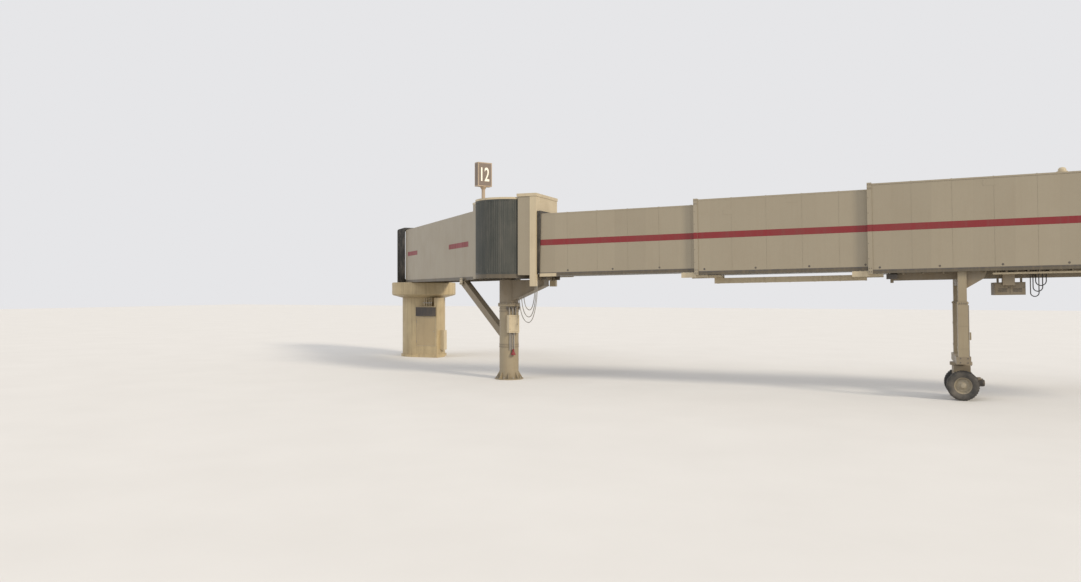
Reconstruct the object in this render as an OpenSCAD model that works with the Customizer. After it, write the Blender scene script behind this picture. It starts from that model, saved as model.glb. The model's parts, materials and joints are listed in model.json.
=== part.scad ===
// Apron drive jet bridge: fixed walkway, rotunda, three telescoping tunnels, lift columns and cab.
// Origin on the ground under the rotunda column, +X along the tunnels, +Z up, millimetres.

/* [Site] */
// Angle from the tunnels round to the fixed walkway
walkway_angle = 135; // [120:1:150]
// Rise of the tunnels toward the aircraft, in degrees
tunnel_slope = 1; // [0:0.1:2]
// Height of the rotunda floor above the ground
floor_z = 4350; // [4100:10:4600]

/* [Fixed walkway] */
// Distance from the swing axis to the walkway's terminal end
walkway_end = 13700; // [11000:100:15000]
// Outside width of the walkway
walkway_w = 2160; // [2100:10:2240]
// Height of the walkway walls
walkway_wall_h = 2800; // [2500:10:2860]
// Depth of the terminal seal along the walkway
seal_depth = 1500; // [400:20:1800]
// How far the terminal seal stands out round the walkway
seal_lip = 150; // [80:10:250]
// Number of ribs on the terminal seal
seal_ribs = 9; // [3:1:12]

/* [Pier] */
// Distance from the swing axis to the pier's centre
pier_at = 13800; // [10500:100:14000]
// Diameter of the pier shaft
pier_d = 2400; // [1800:20:2600]
// Diameter of the pier's drum cap
pier_cap_d = 3580; // [2900:20:3900]
// Height of the pier's drum cap
pier_cap_h = 860; // [500:20:1000]

/* [Rotunda] */
// Radius of the slatted curtain's outer face
curtain_r = 1400; // [1380:5:1450]
// Thickness of the slatted curtain
curtain_t = 20; // [12:1:30]
// Width of one curtain slat, as an angle
slat_deg = 4; // [3:0.5:6]
// Height from the rotunda floor to the underside of its roof
rotunda_room_h = 3020; // [2700:10:3100]
// Outside diameter of the rotunda column
column_d = 800; // [700:10:900]
// Diameter of the column base plate
base_d = 1200; // [1100:10:1400]
// Diameter of the circle of anchor bolts
anchor_pcd = 1020; // [960:10:1060]
// Number of anchor bolts
anchor_count = 8; // [6:1:12]
// Diameter of the anchor bolt holes
anchor_hole_d = 36; // [24:1:42]
// Height where the turning sleeve starts on the column
sleeve_z = 3100; // [2900:10:3200]
// Width of the diagonal struts
strut_w = 290; // [160:10:320]

/* [Tunnels] */
// Length of each tunnel
tunnel_len = 9200; // [8800:50:9400]
// Start of tunnel B, measured from the hinge pin
b_start = 6290; // [6000:10:6600]
// Start of tunnel C, measured from the hinge pin
c_start = 12280; // [12000:10:12500]
// Outside width of tunnel A
a_width = 2000; // [1960:10:2000]
// Side gap between one tunnel and the next
side_gap = 80; // [60:5:90]
// Thickness of the tunnel walls
wall_t = 50; // [40:1:55]
// Thickness of the tunnel roofs
roof_t = 60; // [40:5:80]
// Height of tunnel A's walls
a_wall_h = 2360; // [2300:10:2370]
// Step down of the floor from one tunnel to the next
floor_step = 110; // [105:5:120]
// Step up of the roof from one tunnel to the next
roof_step = 180; // [170:5:220]
// Thickness of the tunnel floors
floor_t = 80; // [60:5:85]
// Length of a tunnel's end frame
frame_len = 150; // [100:10:200]
// How far an end frame stands out from its walls
frame_lip = 30; // [15:5:50]
// Pitch of the wall panels' seams
panel_pitch = 1230; // [1100:10:1300]
// Diameter of the hinge pins
pin_d = 60; // [50:2:80]

/* [Lift columns] */
// Distance from the outer tunnel's end frame to the lift columns
lift_offset = 2880; // [2620:20:3120]
// Distance between the two lift columns
lift_track = 2000; // [1900:10:2050]
// Width of the square upper tubes
lift_upper_w = 260; // [240:5:270]
// Width of the square lower tubes
lift_lower_w = 310; // [300:5:340]
// Height of the lower tubes' top above the ground
lift_collar_z = 3320; // [3250:10:3400]
// Travel of the lift columns each way
lift_travel = 800; // [700:10:800]
// Diameter of the wheels
wheel_d = 1000; // [900:10:1050]
// Width of the wheels
wheel_w = 320; // [250:10:360]
// Distance between the wheels' centre planes
wheel_track = 1240; // [1200:10:1300]

/* [Cab] */
// Radius of the cab's curtain
cab_r = 1550; // [1520:10:1600]
// Length of the cab's head in front of its centre
cab_head = 2500; // [2300:20:2700]
// Length of the folding canopy
canopy_len = 900; // [700:20:1000]
// Number of canopy folds
canopy_folds = 6; // [4:1:8]

/* [Gate sign] */
// Width of the gate sign
sign_w = 660; // [500:20:800]
// Height of the gate sign
sign_h = 1000; // [600:20:1100]
// Height of the sign's pole
sign_pole_h = 480; // [300:20:800]
// Angle that the sign is turned to face the apron
sign_turn = 55; // [0:1:80]

/* [Hidden] */
$fn = 240;

wall_color = [0.70, 0.65, 0.54];
trim_color = [0.79, 0.75, 0.64];
steel_color = [0.52, 0.47, 0.38];
dark_color = [0.25, 0.24, 0.22];
slat_color = [0.31, 0.32, 0.29];
rubber_color = [0.10, 0.10, 0.10];
concrete_color = [0.72, 0.62, 0.48];

seat_gap = 0.3;
slat_inset = 15;
run_gap = 10;
pin_gap = 0.1;

walkway_floor_t = 60;
walkway_wall_t = 60;
walkway_beam_h = 150;
walkway_beam_w = 160;
walkway_roof_t = 60;
walkway_wall_z = floor_z - 50;
walkway_top_z = walkway_wall_z + walkway_wall_h;
walkway_beam_z = walkway_wall_z - walkway_beam_h;
portal_sill = 40;
portal_lip = 30;

rotunda_ring_h = 110;
rotunda_plate_t = 20;
rotunda_ring_w = 60;
rotunda_floor_t = 50;
rotunda_ring_z = floor_z - rotunda_floor_t - rotunda_ring_h;
column_top = rotunda_ring_z + rotunda_ring_h - rotunda_plate_t;
rotunda_roof_z = floor_z + rotunda_room_h;
rotunda_roof_t = 80;
walkway_corner_deg = asin(walkway_w / 2 / curtain_r);
portal_at = curtain_r * cos(walkway_corner_deg);
walkway_start = curtain_r + portal_sill;

swing_open_w = a_width + 2 * run_gap;
swing_post_w = 160;
swing_w = swing_open_w + 2 * swing_post_w;
drum_t = 70;
drum_in_y = swing_w / 2 - 10 - drum_t;
drum_start = sqrt(pow(curtain_r + 2 * run_gap, 2) - pow(drum_in_y, 2));
swing_corner_deg = atan2(drum_in_y, drum_start);
swing_front = 1700;
swing_post_len = 270;
swing_back = swing_front - swing_post_len;
ramp_len = 900;
ramp_gap = 8;
swing_roof_h = 120;
swing_foot_drop = 330;
swing_roof_z = rotunda_roof_z + rotunda_roof_t + run_gap;
swing_beam_h = 190;
swing_floor_r = curtain_r + run_gap;

hinge_x = swing_front + 50;
hinge_z = floor_z - 160;
hinge_lug_y = 730;
hinge_lug_t = 60;
hinge_ear_t = 40;
hinge_boss_d = 170;
tunnel_wall_z = floor_z + 50 - hinge_z;
a_start = 20;

cabinet_x = 20;
cabinet_w = 1480;
cabinet_d = 800;
cabinet_h = 2820;
board_x = cabinet_x + 170;
board_w = 1230;
board_z = 620;
board_h = 1610;

anchor_plate_h = 40;
junction_turn = -45;
post_d = 520;
strut_at = 3000;
strut_foot_z = 1900;

lift_at = c_start + lift_offset;
wheel_z = (wheel_d / 2 - hinge_z - lift_at * sin(tunnel_slope)) / cos(tunnel_slope);

// Section of each tunnel: half width, wall foot, wall top, floor top and floor underside
function half_w(i) = a_width / 2 + i * (side_gap + wall_t);
function wall_lo(i) = tunnel_wall_z - [0, 1, 2][i] * floor_step;
function wall_hi(i) = tunnel_wall_z + a_wall_h + i * roof_step;
function floor_hi(i) = wall_lo(i) - 50;
function floor_lo(i) = floor_hi(i) - floor_t;
sill_w = wall_t + side_gap - run_gap;

cab_gap = 40;
c_end = c_start + tunnel_len;
cab_wall_y = 1350;
cab_centre = c_end + cab_gap + sqrt(pow(cab_r, 2) - pow(half_w(2), 2));
cab_front = cab_centre + cab_head;
cab_room_hi = wall_hi(2) - roof_t;
cab_floor_t = 120;

module in_walkway() {
  rotate([0, 0, walkway_angle]) children();
}

module at_pier() {
  rotate([0, 0, walkway_angle]) translate([pier_at, 0, 0]) rotate([0, 0, -walkway_angle]) children();
}

module in_tunnel() {
  translate([hinge_x, 0, hinge_z]) rotate([0, -tunnel_slope, 0]) children();
}

// Box between two corners
module block(lo, hi) {
  translate(lo) cube(hi - lo);
}

module both_sides() {
  children();
  mirror([0, 1, 0]) children();
}

// Square bar from one point to another
module bar(p, q, w) {
  d = q - p;
  run = norm([d.x, d.y]);
  translate(p) rotate([0, -atan2(d.z, run), atan2(d.y, d.x)])
    translate([0, -w / 2, -w / 2]) cube([norm(d), w, w]);
}

// Curved wall about the swing axis
module arc_wall(r, t, from, to, lo, hi) {
  translate([0, 0, lo]) rotate([0, 0, from])
    rotate_extrude(angle = to - from) translate([r - t, 0]) square([t, hi - lo]);
}

// Curtain of upright slats, every other one standing out
module slat_curtain(r, t, from, to, lo, hi) {
  arc_wall(r - t / 2, t / 2, from, to, lo, hi);
  slats = floor((to - from) / slat_deg);
  pitch = (to - from) / slats;
  for (i = [0 : slats - 1])
    arc_wall(r, t * 0.8, from + (i + 0.15) * pitch, from + (i + 0.85) * pitch,
             lo + slat_inset, hi - slat_inset);
}

module terminal_seal() {
  half = walkway_w / 2;
  rib_pitch = seal_depth / seal_ribs;
  color(dark_color) in_walkway() difference() {
    union() {
      block([walkway_end, -half - seal_lip / 2, walkway_beam_z],
            [walkway_end + seal_depth, half + seal_lip / 2, walkway_top_z + seal_lip / 2]);
      for (i = [0 : seal_ribs - 1])
        block([walkway_end + (i + 0.2) * rib_pitch, -half - seal_lip, walkway_beam_z],
              [walkway_end + (i + 0.8) * rib_pitch, half + seal_lip, walkway_top_z + seal_lip]);
    }
    block([walkway_end - 1, -half + walkway_wall_t, floor_z],
          [walkway_end + seal_depth + 1, half - walkway_wall_t, walkway_top_z - walkway_roof_t]);
  }
}

module walkway_floor() {
  half = walkway_w / 2;
  color(steel_color) in_walkway() {
    block([walkway_start, -half + walkway_wall_t, floor_z - walkway_floor_t],
          [walkway_end, half - walkway_wall_t, floor_z]);
    both_sides()
      block([walkway_start, half - walkway_beam_w, walkway_beam_z],
            [walkway_end, half, floor_z - walkway_floor_t]);
    bays = floor((walkway_end - walkway_start) / 2400);
    bay = (walkway_end - walkway_start) / bays;
    for (i = [0 : bays - 1])
      block([walkway_start + (i + 0.5) * bay - 60, -half + walkway_beam_w, walkway_beam_z],
            [walkway_start + (i + 0.5) * bay + 60, half - walkway_beam_w, floor_z - walkway_floor_t]);
  }
}

module walkway_walls() {
  half = walkway_w / 2;
  color(wall_color) in_walkway() both_sides()
    block([walkway_start, half - walkway_wall_t, floor_z - walkway_floor_t],
          [walkway_end, half, walkway_top_z - walkway_roof_t]);
}

module walkway_roof() {
  half = walkway_w / 2;
  color(trim_color) in_walkway()
    block([walkway_start, -half, walkway_top_z - walkway_roof_t],
          [walkway_end, half, walkway_top_z]);
}

module pier_shaft() {
  top = walkway_beam_z - pier_cap_h;
  color(concrete_color) at_pier() difference() {
    union() {
      cylinder(d = pier_d, h = top);
      cylinder(d = pier_d + 160, h = 120);
      block([cabinet_x, -pier_d / 2, 0], [cabinet_x + cabinet_w, -pier_d / 2 + cabinet_d, cabinet_h]);
      block([cabinet_x - 40, -pier_d / 2 - 40, 0],
            [cabinet_x + cabinet_w + 40, -pier_d / 2 + cabinet_d + 40, 180]);
      block([cabinet_x + cabinet_w - 160, -pier_d / 2, 0],
            [cabinet_x + cabinet_w, -pier_d / 2 + cabinet_d, top]);
    }
    block([board_x, -pier_d / 2 - 1, board_z], [board_x + board_w, -pier_d / 2 + 60, board_z + board_h]);
  }
}

module pier_door() {
  color(trim_color) at_pier()
    block([board_x + 5, -pier_d / 2 + 20, board_z + 5],
          [board_x + board_w - 5, -pier_d / 2 + 60, board_z + board_h - 5]);
}

module pier_cap() {
  color(concrete_color) at_pier() translate([0, 0, walkway_beam_z - pier_cap_h])
    rotate_extrude() polygon([
      [0, 0], [pier_d / 2, 0], [pier_cap_d / 2 - 60, 140], [pier_cap_d / 2, 200],
      [pier_cap_d / 2, pier_cap_h - 40], [pier_cap_d / 2 - 40, pier_cap_h - seat_gap],
      [0, pier_cap_h - seat_gap]
    ]);
}

module rotunda_portal() {
  half = walkway_w / 2;
  color(trim_color) in_walkway() difference() {
    block([portal_at - 10, -half - portal_lip, rotunda_ring_z],
          [walkway_start, half + portal_lip, rotunda_roof_z]);
    block([portal_at - 11, -half + walkway_wall_t, floor_z],
          [walkway_start + 1, half - walkway_wall_t, walkway_top_z - walkway_roof_t]);
    translate([0, 0, rotunda_ring_z - 1]) cylinder(r = curtain_r, h = rotunda_room_h * 2);
  }
}

module rotunda_floor() {
  color(steel_color) difference() {
    union() {
      translate([0, 0, floor_z - rotunda_floor_t]) cylinder(r = curtain_r, h = rotunda_floor_t);
      translate([0, 0, rotunda_ring_z]) cylinder(r = curtain_r, h = rotunda_ring_h);
    }
    translate([0, 0, rotunda_ring_z - 1]) cylinder(r = curtain_r - rotunda_ring_w, h = rotunda_ring_h + 1 - rotunda_plate_t);
  }
  color(steel_color) for (a = [0 : 45 : 315]) rotate([0, 0, a])
    block([post_d / 2 + 40, -30, rotunda_ring_z],
          [curtain_r - rotunda_ring_w, 30, column_top]);
}

module rotunda_roof() {
  half = walkway_w / 2;
  color(trim_color) {
    translate([0, 0, rotunda_roof_z + seat_gap])
      cylinder(r = curtain_r + 10, h = rotunda_roof_t - seat_gap);
    in_walkway() difference() {
      block([0, -half - portal_lip, rotunda_roof_z + seat_gap],
            [walkway_start + 60, half + portal_lip, rotunda_roof_z + rotunda_roof_t]);
      translate([0, 0, rotunda_roof_z - 1]) cylinder(r = curtain_r - 10, h = rotunda_roof_t + 2);
    }
  }
}

near_from = walkway_angle + walkway_corner_deg;
near_to = 360 - swing_corner_deg;
far_from = swing_corner_deg;
far_to = walkway_angle - walkway_corner_deg;

module curtain_near() {
  color(slat_color)
    slat_curtain(curtain_r, curtain_t, near_from, near_to, floor_z, rotunda_roof_z);
}

module curtain_far() {
  color(slat_color)
    slat_curtain(curtain_r, curtain_t, far_from, far_to, floor_z, rotunda_roof_z);
}

module rotunda_column() {
  color(steel_color) difference() {
    union() {
      cylinder(d = base_d, h = anchor_plate_h);
      cylinder(d = column_d, h = sleeve_z - 60);
      translate([0, 0, sleeve_z - 60]) cylinder(d = column_d + 120, h = 60);
      cylinder(d = post_d, h = column_top);
      translate([0, 0, rotunda_ring_z - 40]) cylinder(d = post_d + 80, h = 40);
      for (i = [0 : anchor_count - 1]) rotate([0, 0, (i + 0.5) * 360 / anchor_count])
        translate([column_d / 2 - 20, 12, anchor_plate_h]) rotate([90, 0, 0])
          linear_extrude(24) polygon([[0, 0], [base_d / 2 - column_d / 2 - 10, 0], [0, 320]]);
    }
    for (i = [0 : anchor_count - 1]) rotate([0, 0, i * 360 / anchor_count])
      translate([anchor_pcd / 2, 0, -1]) cylinder(d = anchor_hole_d, h = anchor_plate_h + 2);
  }
}

module column_struts() {
  reach = walkway_w / 2 - walkway_beam_w / 2;
  color(steel_color) difference() {
    in_walkway() both_sides() {
      bar([column_d / 2 - 120, 150, strut_foot_z], [strut_at, reach, walkway_beam_z - 60], strut_w);
      block([strut_at - 260, reach - 100, walkway_beam_z - 60],
            [strut_at + 160, reach + 80, walkway_beam_z]);
    }
    translate([0, 0, 500]) cylinder(d = column_d, h = 2000);
    in_walkway() block([0, -walkway_w, walkway_beam_z],
                       [walkway_end, walkway_w, walkway_beam_z + 2 * strut_w]);
  }
}

module junction_box() {
  w = 460;
  h = 730;
  low = 1950;
  out = column_d / 2 + 190;
  rim = 40;
  color(trim_color) rotate([0, 0, junction_turn]) difference() {
    block([0, -w / 2, low], [out, w / 2, low + h]);
    translate([0, 0, low - 1]) cylinder(d = column_d, h = h + 2);
    block([out - 15, -w / 2 + rim, low + rim], [out + 1, w / 2 - rim, low + h - rim]);
  }
}

module gate_sign() {
  foot_z = rotunda_roof_z + rotunda_roof_t;
  at = [-1050, -300, foot_z];
  color(dark_color) translate(at) {
    cylinder(d = 260, h = 20);
    cylinder(d = 150, h = sign_pole_h);
    translate([0, 0, sign_pole_h]) cylinder(d1 = 150, d2 = 300, h = 120);
    rotate([0, 0, sign_turn]) translate([-sign_w / 2, -150, sign_pole_h + 120]) difference() {
      cube([sign_w, 300, sign_h]);
      translate([40, -1, 40]) cube([sign_w - 80, 21, sign_h - 80]);
    }
  }
}

module swing_frame() {
  color(trim_color) swing_feet();
  color(trim_color) difference() {
    block([swing_back, -swing_w / 2, hinge_z - 100], [swing_front, swing_w / 2, swing_roof_z]);
    block([swing_back - 1, -swing_open_w / 2, floor_z - swing_beam_h],
          [swing_front + 1, swing_open_w / 2, hinge_z + tunnel_wall_z + a_wall_h + 40]);
    block([swing_back - 1, -swing_open_w / 2, hinge_z - 101],
          [swing_front + 1, swing_open_w / 2, floor_z]);
  }
}

// Foot of each post, below the rotunda's floor
module swing_feet() {
  both_sides() block([swing_back, swing_open_w / 2, hinge_z - swing_foot_drop],
                     [swing_front, swing_w / 2, hinge_z - 99]);
}

module swing_sides() {
  color(wall_color) both_sides()
    block([drum_start, drum_in_y, floor_z - rotunda_floor_t + 10],
          [swing_back, drum_in_y + drum_t, swing_roof_z]);
}

module swing_floor() {
  color(steel_color) difference() {
    block([drum_start, -swing_open_w / 2, floor_z - rotunda_floor_t], [hinge_x - 10, swing_open_w / 2, floor_z]);
    translate([0, 0, floor_z - 200]) cylinder(r = swing_floor_r, h = 400);
  }
}

module swing_roof() {
  color(trim_color) difference() {
    block([drum_start - 40, -swing_w / 2 - 20, swing_roof_z],
          [swing_front + 20, swing_w / 2 + 20, swing_roof_z + swing_roof_h]);
    block([drum_start, -swing_w / 2 + 40, swing_roof_z - 1],
          [swing_front - 40, swing_w / 2 - 40, swing_roof_z + swing_roof_h - 40]);
  }
}

bracket_y = 280;
bracket_t = 40;
bracket_nose = swing_front - 20;
bracket_lo = hinge_z - swing_foot_drop + 20;
bracket_rise = (bracket_lo - sleeve_z - bracket_t) / bracket_nose;

module swing_bracket() {
  sleeve_top = rotunda_ring_z - 60;
  beam_z = floor_z - rotunda_floor_t - swing_beam_h;
  color(steel_color) {
    difference() {
      union() {
        translate([0, 0, sleeve_z + seat_gap]) cylinder(d = column_d, h = sleeve_top - sleeve_z - seat_gap);
        translate([0, 0, sleeve_z + seat_gap]) cylinder(d = column_d + 120, h = 60);
        both_sides() translate([0, bracket_y, 0]) rotate([90, 0, 0])
          linear_extrude(bracket_t) polygon([
            [0, sleeve_z + bracket_t], [bracket_nose, bracket_lo],
            [bracket_nose, beam_z + swing_beam_h - 60], [0, beam_z + swing_beam_h - 60]]);
        translate([0, bracket_y + bracket_t, 0]) rotate([90, 0, 0])
          linear_extrude(2 * (bracket_y + bracket_t)) polygon([
            [column_d / 3, sleeve_z + bracket_t + bracket_rise * column_d / 3],
            [bracket_nose, bracket_lo], [bracket_nose, bracket_lo + bracket_t],
            [column_d / 3, sleeve_z + 2 * bracket_t + bracket_rise * column_d / 3]]);
        for (x = [bracket_nose - bracket_t, (bracket_nose + column_d / 2) / 2])
          block([x, -bracket_y, sleeve_z + 2 * bracket_t + bracket_rise * x],
                [x + bracket_t, bracket_y, beam_z + 1]);
        block([swing_floor_r + 10, -swing_open_w / 2, beam_z],
              [swing_front - 20, swing_open_w / 2, beam_z + swing_beam_h]);
      }
      translate([0, 0, sleeve_z - 1]) cylinder(d = post_d + 1, h = 2000);
      translate([0, 0, sleeve_top]) cylinder(r = swing_floor_r, h = 400);
    }
    both_sides() {
      for (y = [hinge_lug_y - hinge_lug_t / 2 - 5 - hinge_ear_t, hinge_lug_y + hinge_lug_t / 2 + 5])
        hinge_ear(y);
      translate([hinge_x, hinge_lug_y + hinge_lug_t / 2 + 60, hinge_z]) rotate([90, 0, 0])
        cylinder(d = pin_d, h = hinge_lug_t + 120);
    }
  }
}

// One plate of the clevis that holds a hinge pin
module hinge_ear(y) {
  beam_z = floor_z - rotunda_floor_t - swing_beam_h;
  block([swing_front - 21, y, beam_z], [hinge_x, y + hinge_ear_t, hinge_z + hinge_boss_d / 2 - 30]);
  translate([hinge_x, y + hinge_ear_t, hinge_z]) rotate([90, 0, 0])
    cylinder(d = hinge_boss_d - 60, h = hinge_ear_t);
}

module hinge_seal() {
  half = swing_open_w / 2;
  top = hinge_z + tunnel_wall_z + a_wall_h + 40;
  color(rubber_color) difference() {
    block([swing_front, -half - 60, floor_z + 20], [swing_front + 50, half + 60, top + 80]);
    block([swing_front - 1, -half - 20, floor_z], [swing_front + 51, half + 20, top + 40]);
  }
}

module tunnel_floor(i, start, end) {
  half = half_w(i);
  color(steel_color) in_tunnel() {
    block([start, -half, floor_lo(i)], [end, half, floor_hi(i)]);
    both_sides() block([start, half - sill_w, floor_hi(i)], [end, half, wall_lo(i)]);
  }
}

// Pair of walls, each with shallow upright grooves where its panels meet
module tunnel_walls(i, start, end) {
  half = half_w(i);
  color(wall_color) in_tunnel() both_sides() difference() {
    block([start, half - wall_t, wall_lo(i)], [end, half, wall_hi(i) - roof_t]);
    for (x = [start + panel_pitch : panel_pitch : end - panel_pitch / 3])
      block([x - 5, half - 4, wall_lo(i) + 10], [x + 5, half + 1, wall_hi(i) - roof_t - 10]);
  }
}

module tunnel_roof(i, start, end) {
  half = half_w(i);
  color(trim_color) in_tunnel()
    block([start, -half, wall_hi(i) - roof_t], [end, half, wall_hi(i)]);
}

// Frame round a tunnel's inner end, close round the smaller tunnel inside it
module tunnel_frame(i, start) {
  half = half_w(i) + frame_lip;
  in_half = half_w(i - 1) + run_gap;
  color(trim_color) in_tunnel() difference() {
    block([start, -half, floor_lo(i) - 10], [start + frame_len, half, wall_hi(i) + frame_lip]);
    block([start - 1, -in_half, floor_hi(i)], [start + frame_len + 1, in_half, wall_hi(i - 1) + run_gap + 10]);
  }
}

// Brackets with rollers under the smaller tunnel's sills
module tunnel_rollers(i, start) {
  roller_d = 90;
  reach = 520;
  y0 = half_w(i - 1) - 120;
  top = floor_lo(i - 1) - seat_gap;
  color(trim_color) in_tunnel() both_sides() {
    difference() {
      block([start - reach, y0 - 20, floor_lo(i) - 100], [start + 480, y0 + 130, floor_lo(i) - 10]);
      block([start - reach - 1, y0, top - roller_d - 10], [start - 1, y0 + 110, floor_lo(i)]);
    }
    for (x = [start - reach + 90, start - reach + 260, start - reach + 430])
      translate([x, y0 + 110, top - roller_d / 2]) rotate([90, 0, 0]) {
        cylinder(d = roller_d, h = 110);
        translate([0, 0, -20]) cylinder(d = 30, h = 150);
      }
    for (y = [y0 - 20, y0 + 110])
      block([start - reach, y, floor_lo(i) - 10], [start - seat_gap, y + 20, top - 20]);
  }
}

// Ramp from the end of one tunnel's floor down to the floor of the next
module end_ramp(i, end) {
  half = half_w(i) - sill_w;
  low = floor_hi(i + 1) + ramp_gap;
  color(steel_color) in_tunnel() translate([0, half, 0]) rotate([90, 0, 0])
    linear_extrude(2 * half) polygon([
      [end - 20, floor_lo(i)], [end + ramp_len, low], [end + ramp_len, low + 4],
      [end, floor_hi(i)], [end - 20, floor_hi(i)]]);
}

module tunnel_a_floor() {
  end = a_start + tunnel_len;
  tunnel_floor(0, a_start, end);
  end_ramp(0, end);
  color(steel_color) in_tunnel() {
    both_sides() difference() {
      union() {
        block([-40, hinge_lug_y - hinge_lug_t / 2, 0],
              [hinge_boss_d / 2 + 160, hinge_lug_y + hinge_lug_t / 2, floor_lo(0)]);
        translate([0, hinge_lug_y + hinge_lug_t / 2, 0]) rotate([90, 0, 0])
          cylinder(d = hinge_boss_d - 40, h = hinge_lug_t);
        block([0, hinge_lug_y - hinge_lug_t / 2, -hinge_boss_d / 2 + 20],
              [hinge_boss_d / 2 + 160, hinge_lug_y + hinge_lug_t / 2, floor_lo(0)]);
      }
      translate([0, hinge_lug_y + hinge_lug_t / 2 + 1, 0]) rotate([90, 0, 0])
        cylinder(d = pin_d + 2 * pin_gap, h = hinge_lug_t + 2);
    }
  }
}

module tunnel_a_walls() { tunnel_walls(0, a_start, a_start + tunnel_len); }
module tunnel_a_roof() { tunnel_roof(0, a_start, a_start + tunnel_len); }
module tunnel_b_frame() { tunnel_frame(1, b_start); }
module tunnel_b_floor() {
  end = b_start + tunnel_len;
  tunnel_floor(1, b_start + frame_len, end);
  end_ramp(1, end);
}
module tunnel_b_walls() { tunnel_walls(1, b_start + frame_len, b_start + tunnel_len); }
module tunnel_b_roof() { tunnel_roof(1, b_start + frame_len, b_start + tunnel_len); }

trough_from = 620;
trough_l = 5300;
trough_w = 260;
trough_y = -390;
trough_h = 200;
trough_t = 12;
trough_tie = 330;

// Open trough for the cables, held by one roller bracket and reaching under the next tunnel
module cable_trough(i, start) {
  top = floor_lo(i + 1) - 2 * run_gap;
  x = start + trough_from;
  out = half_w(i - 1) - 100;
  color(trim_color) in_tunnel() {
    difference() {
      block([x, trough_y - trough_w / 2, top - trough_h], [x + trough_l, trough_y + trough_w / 2, top]);
      block([x - 1, trough_y - trough_w / 2 + trough_t, top - trough_h + trough_t],
            [x + trough_l + 1, trough_y + trough_w / 2 - trough_t, top + 1]);
    }
    block([start + 380, -out, floor_lo(i) - 100], [x + trough_tie, trough_y + trough_w / 2, floor_lo(i) - 20]);
    for (y = [trough_y - trough_w / 2, trough_y + trough_w / 2 - trough_t])
      block([x, y, top - trough_h], [x + trough_tie, y + trough_t, floor_lo(i) - 20]);
  }
}

module tunnel_b_rollers() {
  tunnel_rollers(1, b_start);
  cable_trough(1, b_start);
}
module tunnel_c_frame() { tunnel_frame(2, c_start); }
module tunnel_c_floor() { tunnel_floor(2, c_start + frame_len, c_end); }
module tunnel_c_walls() { tunnel_walls(2, c_start + frame_len, c_end); }
module tunnel_c_roof() { tunnel_roof(2, c_start + frame_len, c_end); }
module tunnel_c_rollers() { tunnel_rollers(2, c_start); }

beam_y = 600;
beam_w = 100;
beam_h = 240;
cross_h = 80;
head_h = 220;
beam_inset = 700;
beam_tail = 300;
gusset_l = 620;
gusset_h = 560;
gusset_t = 40;

module tunnel_c_underframe() {
  top = floor_lo(2);
  color(steel_color) in_tunnel() {
    both_sides() {
      block([c_start + beam_inset, beam_y - beam_w / 2, top - beam_h],
            [c_end - beam_tail, beam_y + beam_w / 2, top]);
      block([lift_at - lift_upper_w / 2, beam_y + beam_w / 2, top - head_h],
            [lift_at + lift_upper_w / 2, lift_track / 2 - lift_upper_w / 2, top]);
      translate([lift_at + lift_upper_w / 2, lift_track / 2 + gusset_t / 2, top]) rotate([90, 0, 0])
        linear_extrude(gusset_t)
          polygon([[0, 0], [gusset_l, 0], [gusset_l - beam_w, -beam_h], [0, -gusset_h]]);
    }
    block([lift_at - lift_upper_w / 2, -beam_y - beam_w / 2, top - head_h - beam_h],
          [lift_at + lift_upper_w / 2, beam_y + beam_w / 2, top - beam_h]);
    block([c_start + beam_inset, -beam_y - beam_w / 2, top - beam_h - cross_h],
          [c_start + beam_inset + beam_w, beam_y + beam_w / 2, top - beam_h]);
    block([c_end - beam_tail - beam_w, -beam_y + beam_w / 2, top - beam_h],
          [c_end - beam_tail, beam_y - beam_w / 2, top]);
  }
}

module equipment_boxes() {
  top = floor_lo(2);
  color(steel_color) in_tunnel() {
    block([lift_at + 980, -beam_y - 120, top - beam_h - 560], [lift_at + 1880, 260, top - beam_h - 140]);
    for (x = [lift_at + 1060, lift_at + 1740])
      block([x, -beam_y - 40, top - beam_h - 140], [x + 60, -beam_y + 40, top - beam_h]);
    block([lift_at + 1200, -beam_y - beam_w / 2 - 300, top - 480],
          [lift_at + 1550, -beam_y - beam_w / 2, top]);
  }
}

lift_foot_z = wheel_z - wheel_d / 2 + 1500;
collar_z = wheel_z - wheel_d / 2 + lift_collar_z;
lift_tube_lo = collar_z - lift_travel - 200;

module lift_tubes() {
  color(wall_color) in_tunnel() both_sides() difference() {
    translate([lift_at - lift_upper_w / 2, lift_track / 2 - lift_upper_w / 2, lift_tube_lo])
      cube([lift_upper_w, lift_upper_w, floor_lo(2) - lift_tube_lo]);
    translate([lift_at, lift_track / 2, lift_tube_lo - 1]) cylinder(d = lift_upper_w - 60, h = 1200);
  }
}

module lift_legs() {
  slack = lift_upper_w + 20;
  color(wall_color) in_tunnel() both_sides() difference() {
    union() {
      translate([lift_at - lift_lower_w / 2, lift_track / 2 - lift_lower_w / 2, lift_foot_z])
        cube([lift_lower_w, lift_lower_w, collar_z - lift_foot_z]);
      translate([lift_at - lift_lower_w / 2 - 15, lift_track / 2 - lift_lower_w / 2 - 15, collar_z - 80])
        cube([lift_lower_w + 30, lift_lower_w + 30, 60]);
    }
    translate([lift_at - slack / 2, lift_track / 2 - slack / 2, lift_foot_z + 10])
      cube([slack, slack, collar_z - lift_foot_z - 10 - 100]);
    translate([lift_at - lift_upper_w / 2 - seat_gap, lift_track / 2 - lift_upper_w / 2 - seat_gap, collar_z - 101])
      cube([lift_upper_w + 2 * seat_gap, lift_upper_w + 2 * seat_gap, 102]);
  }
}

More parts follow.
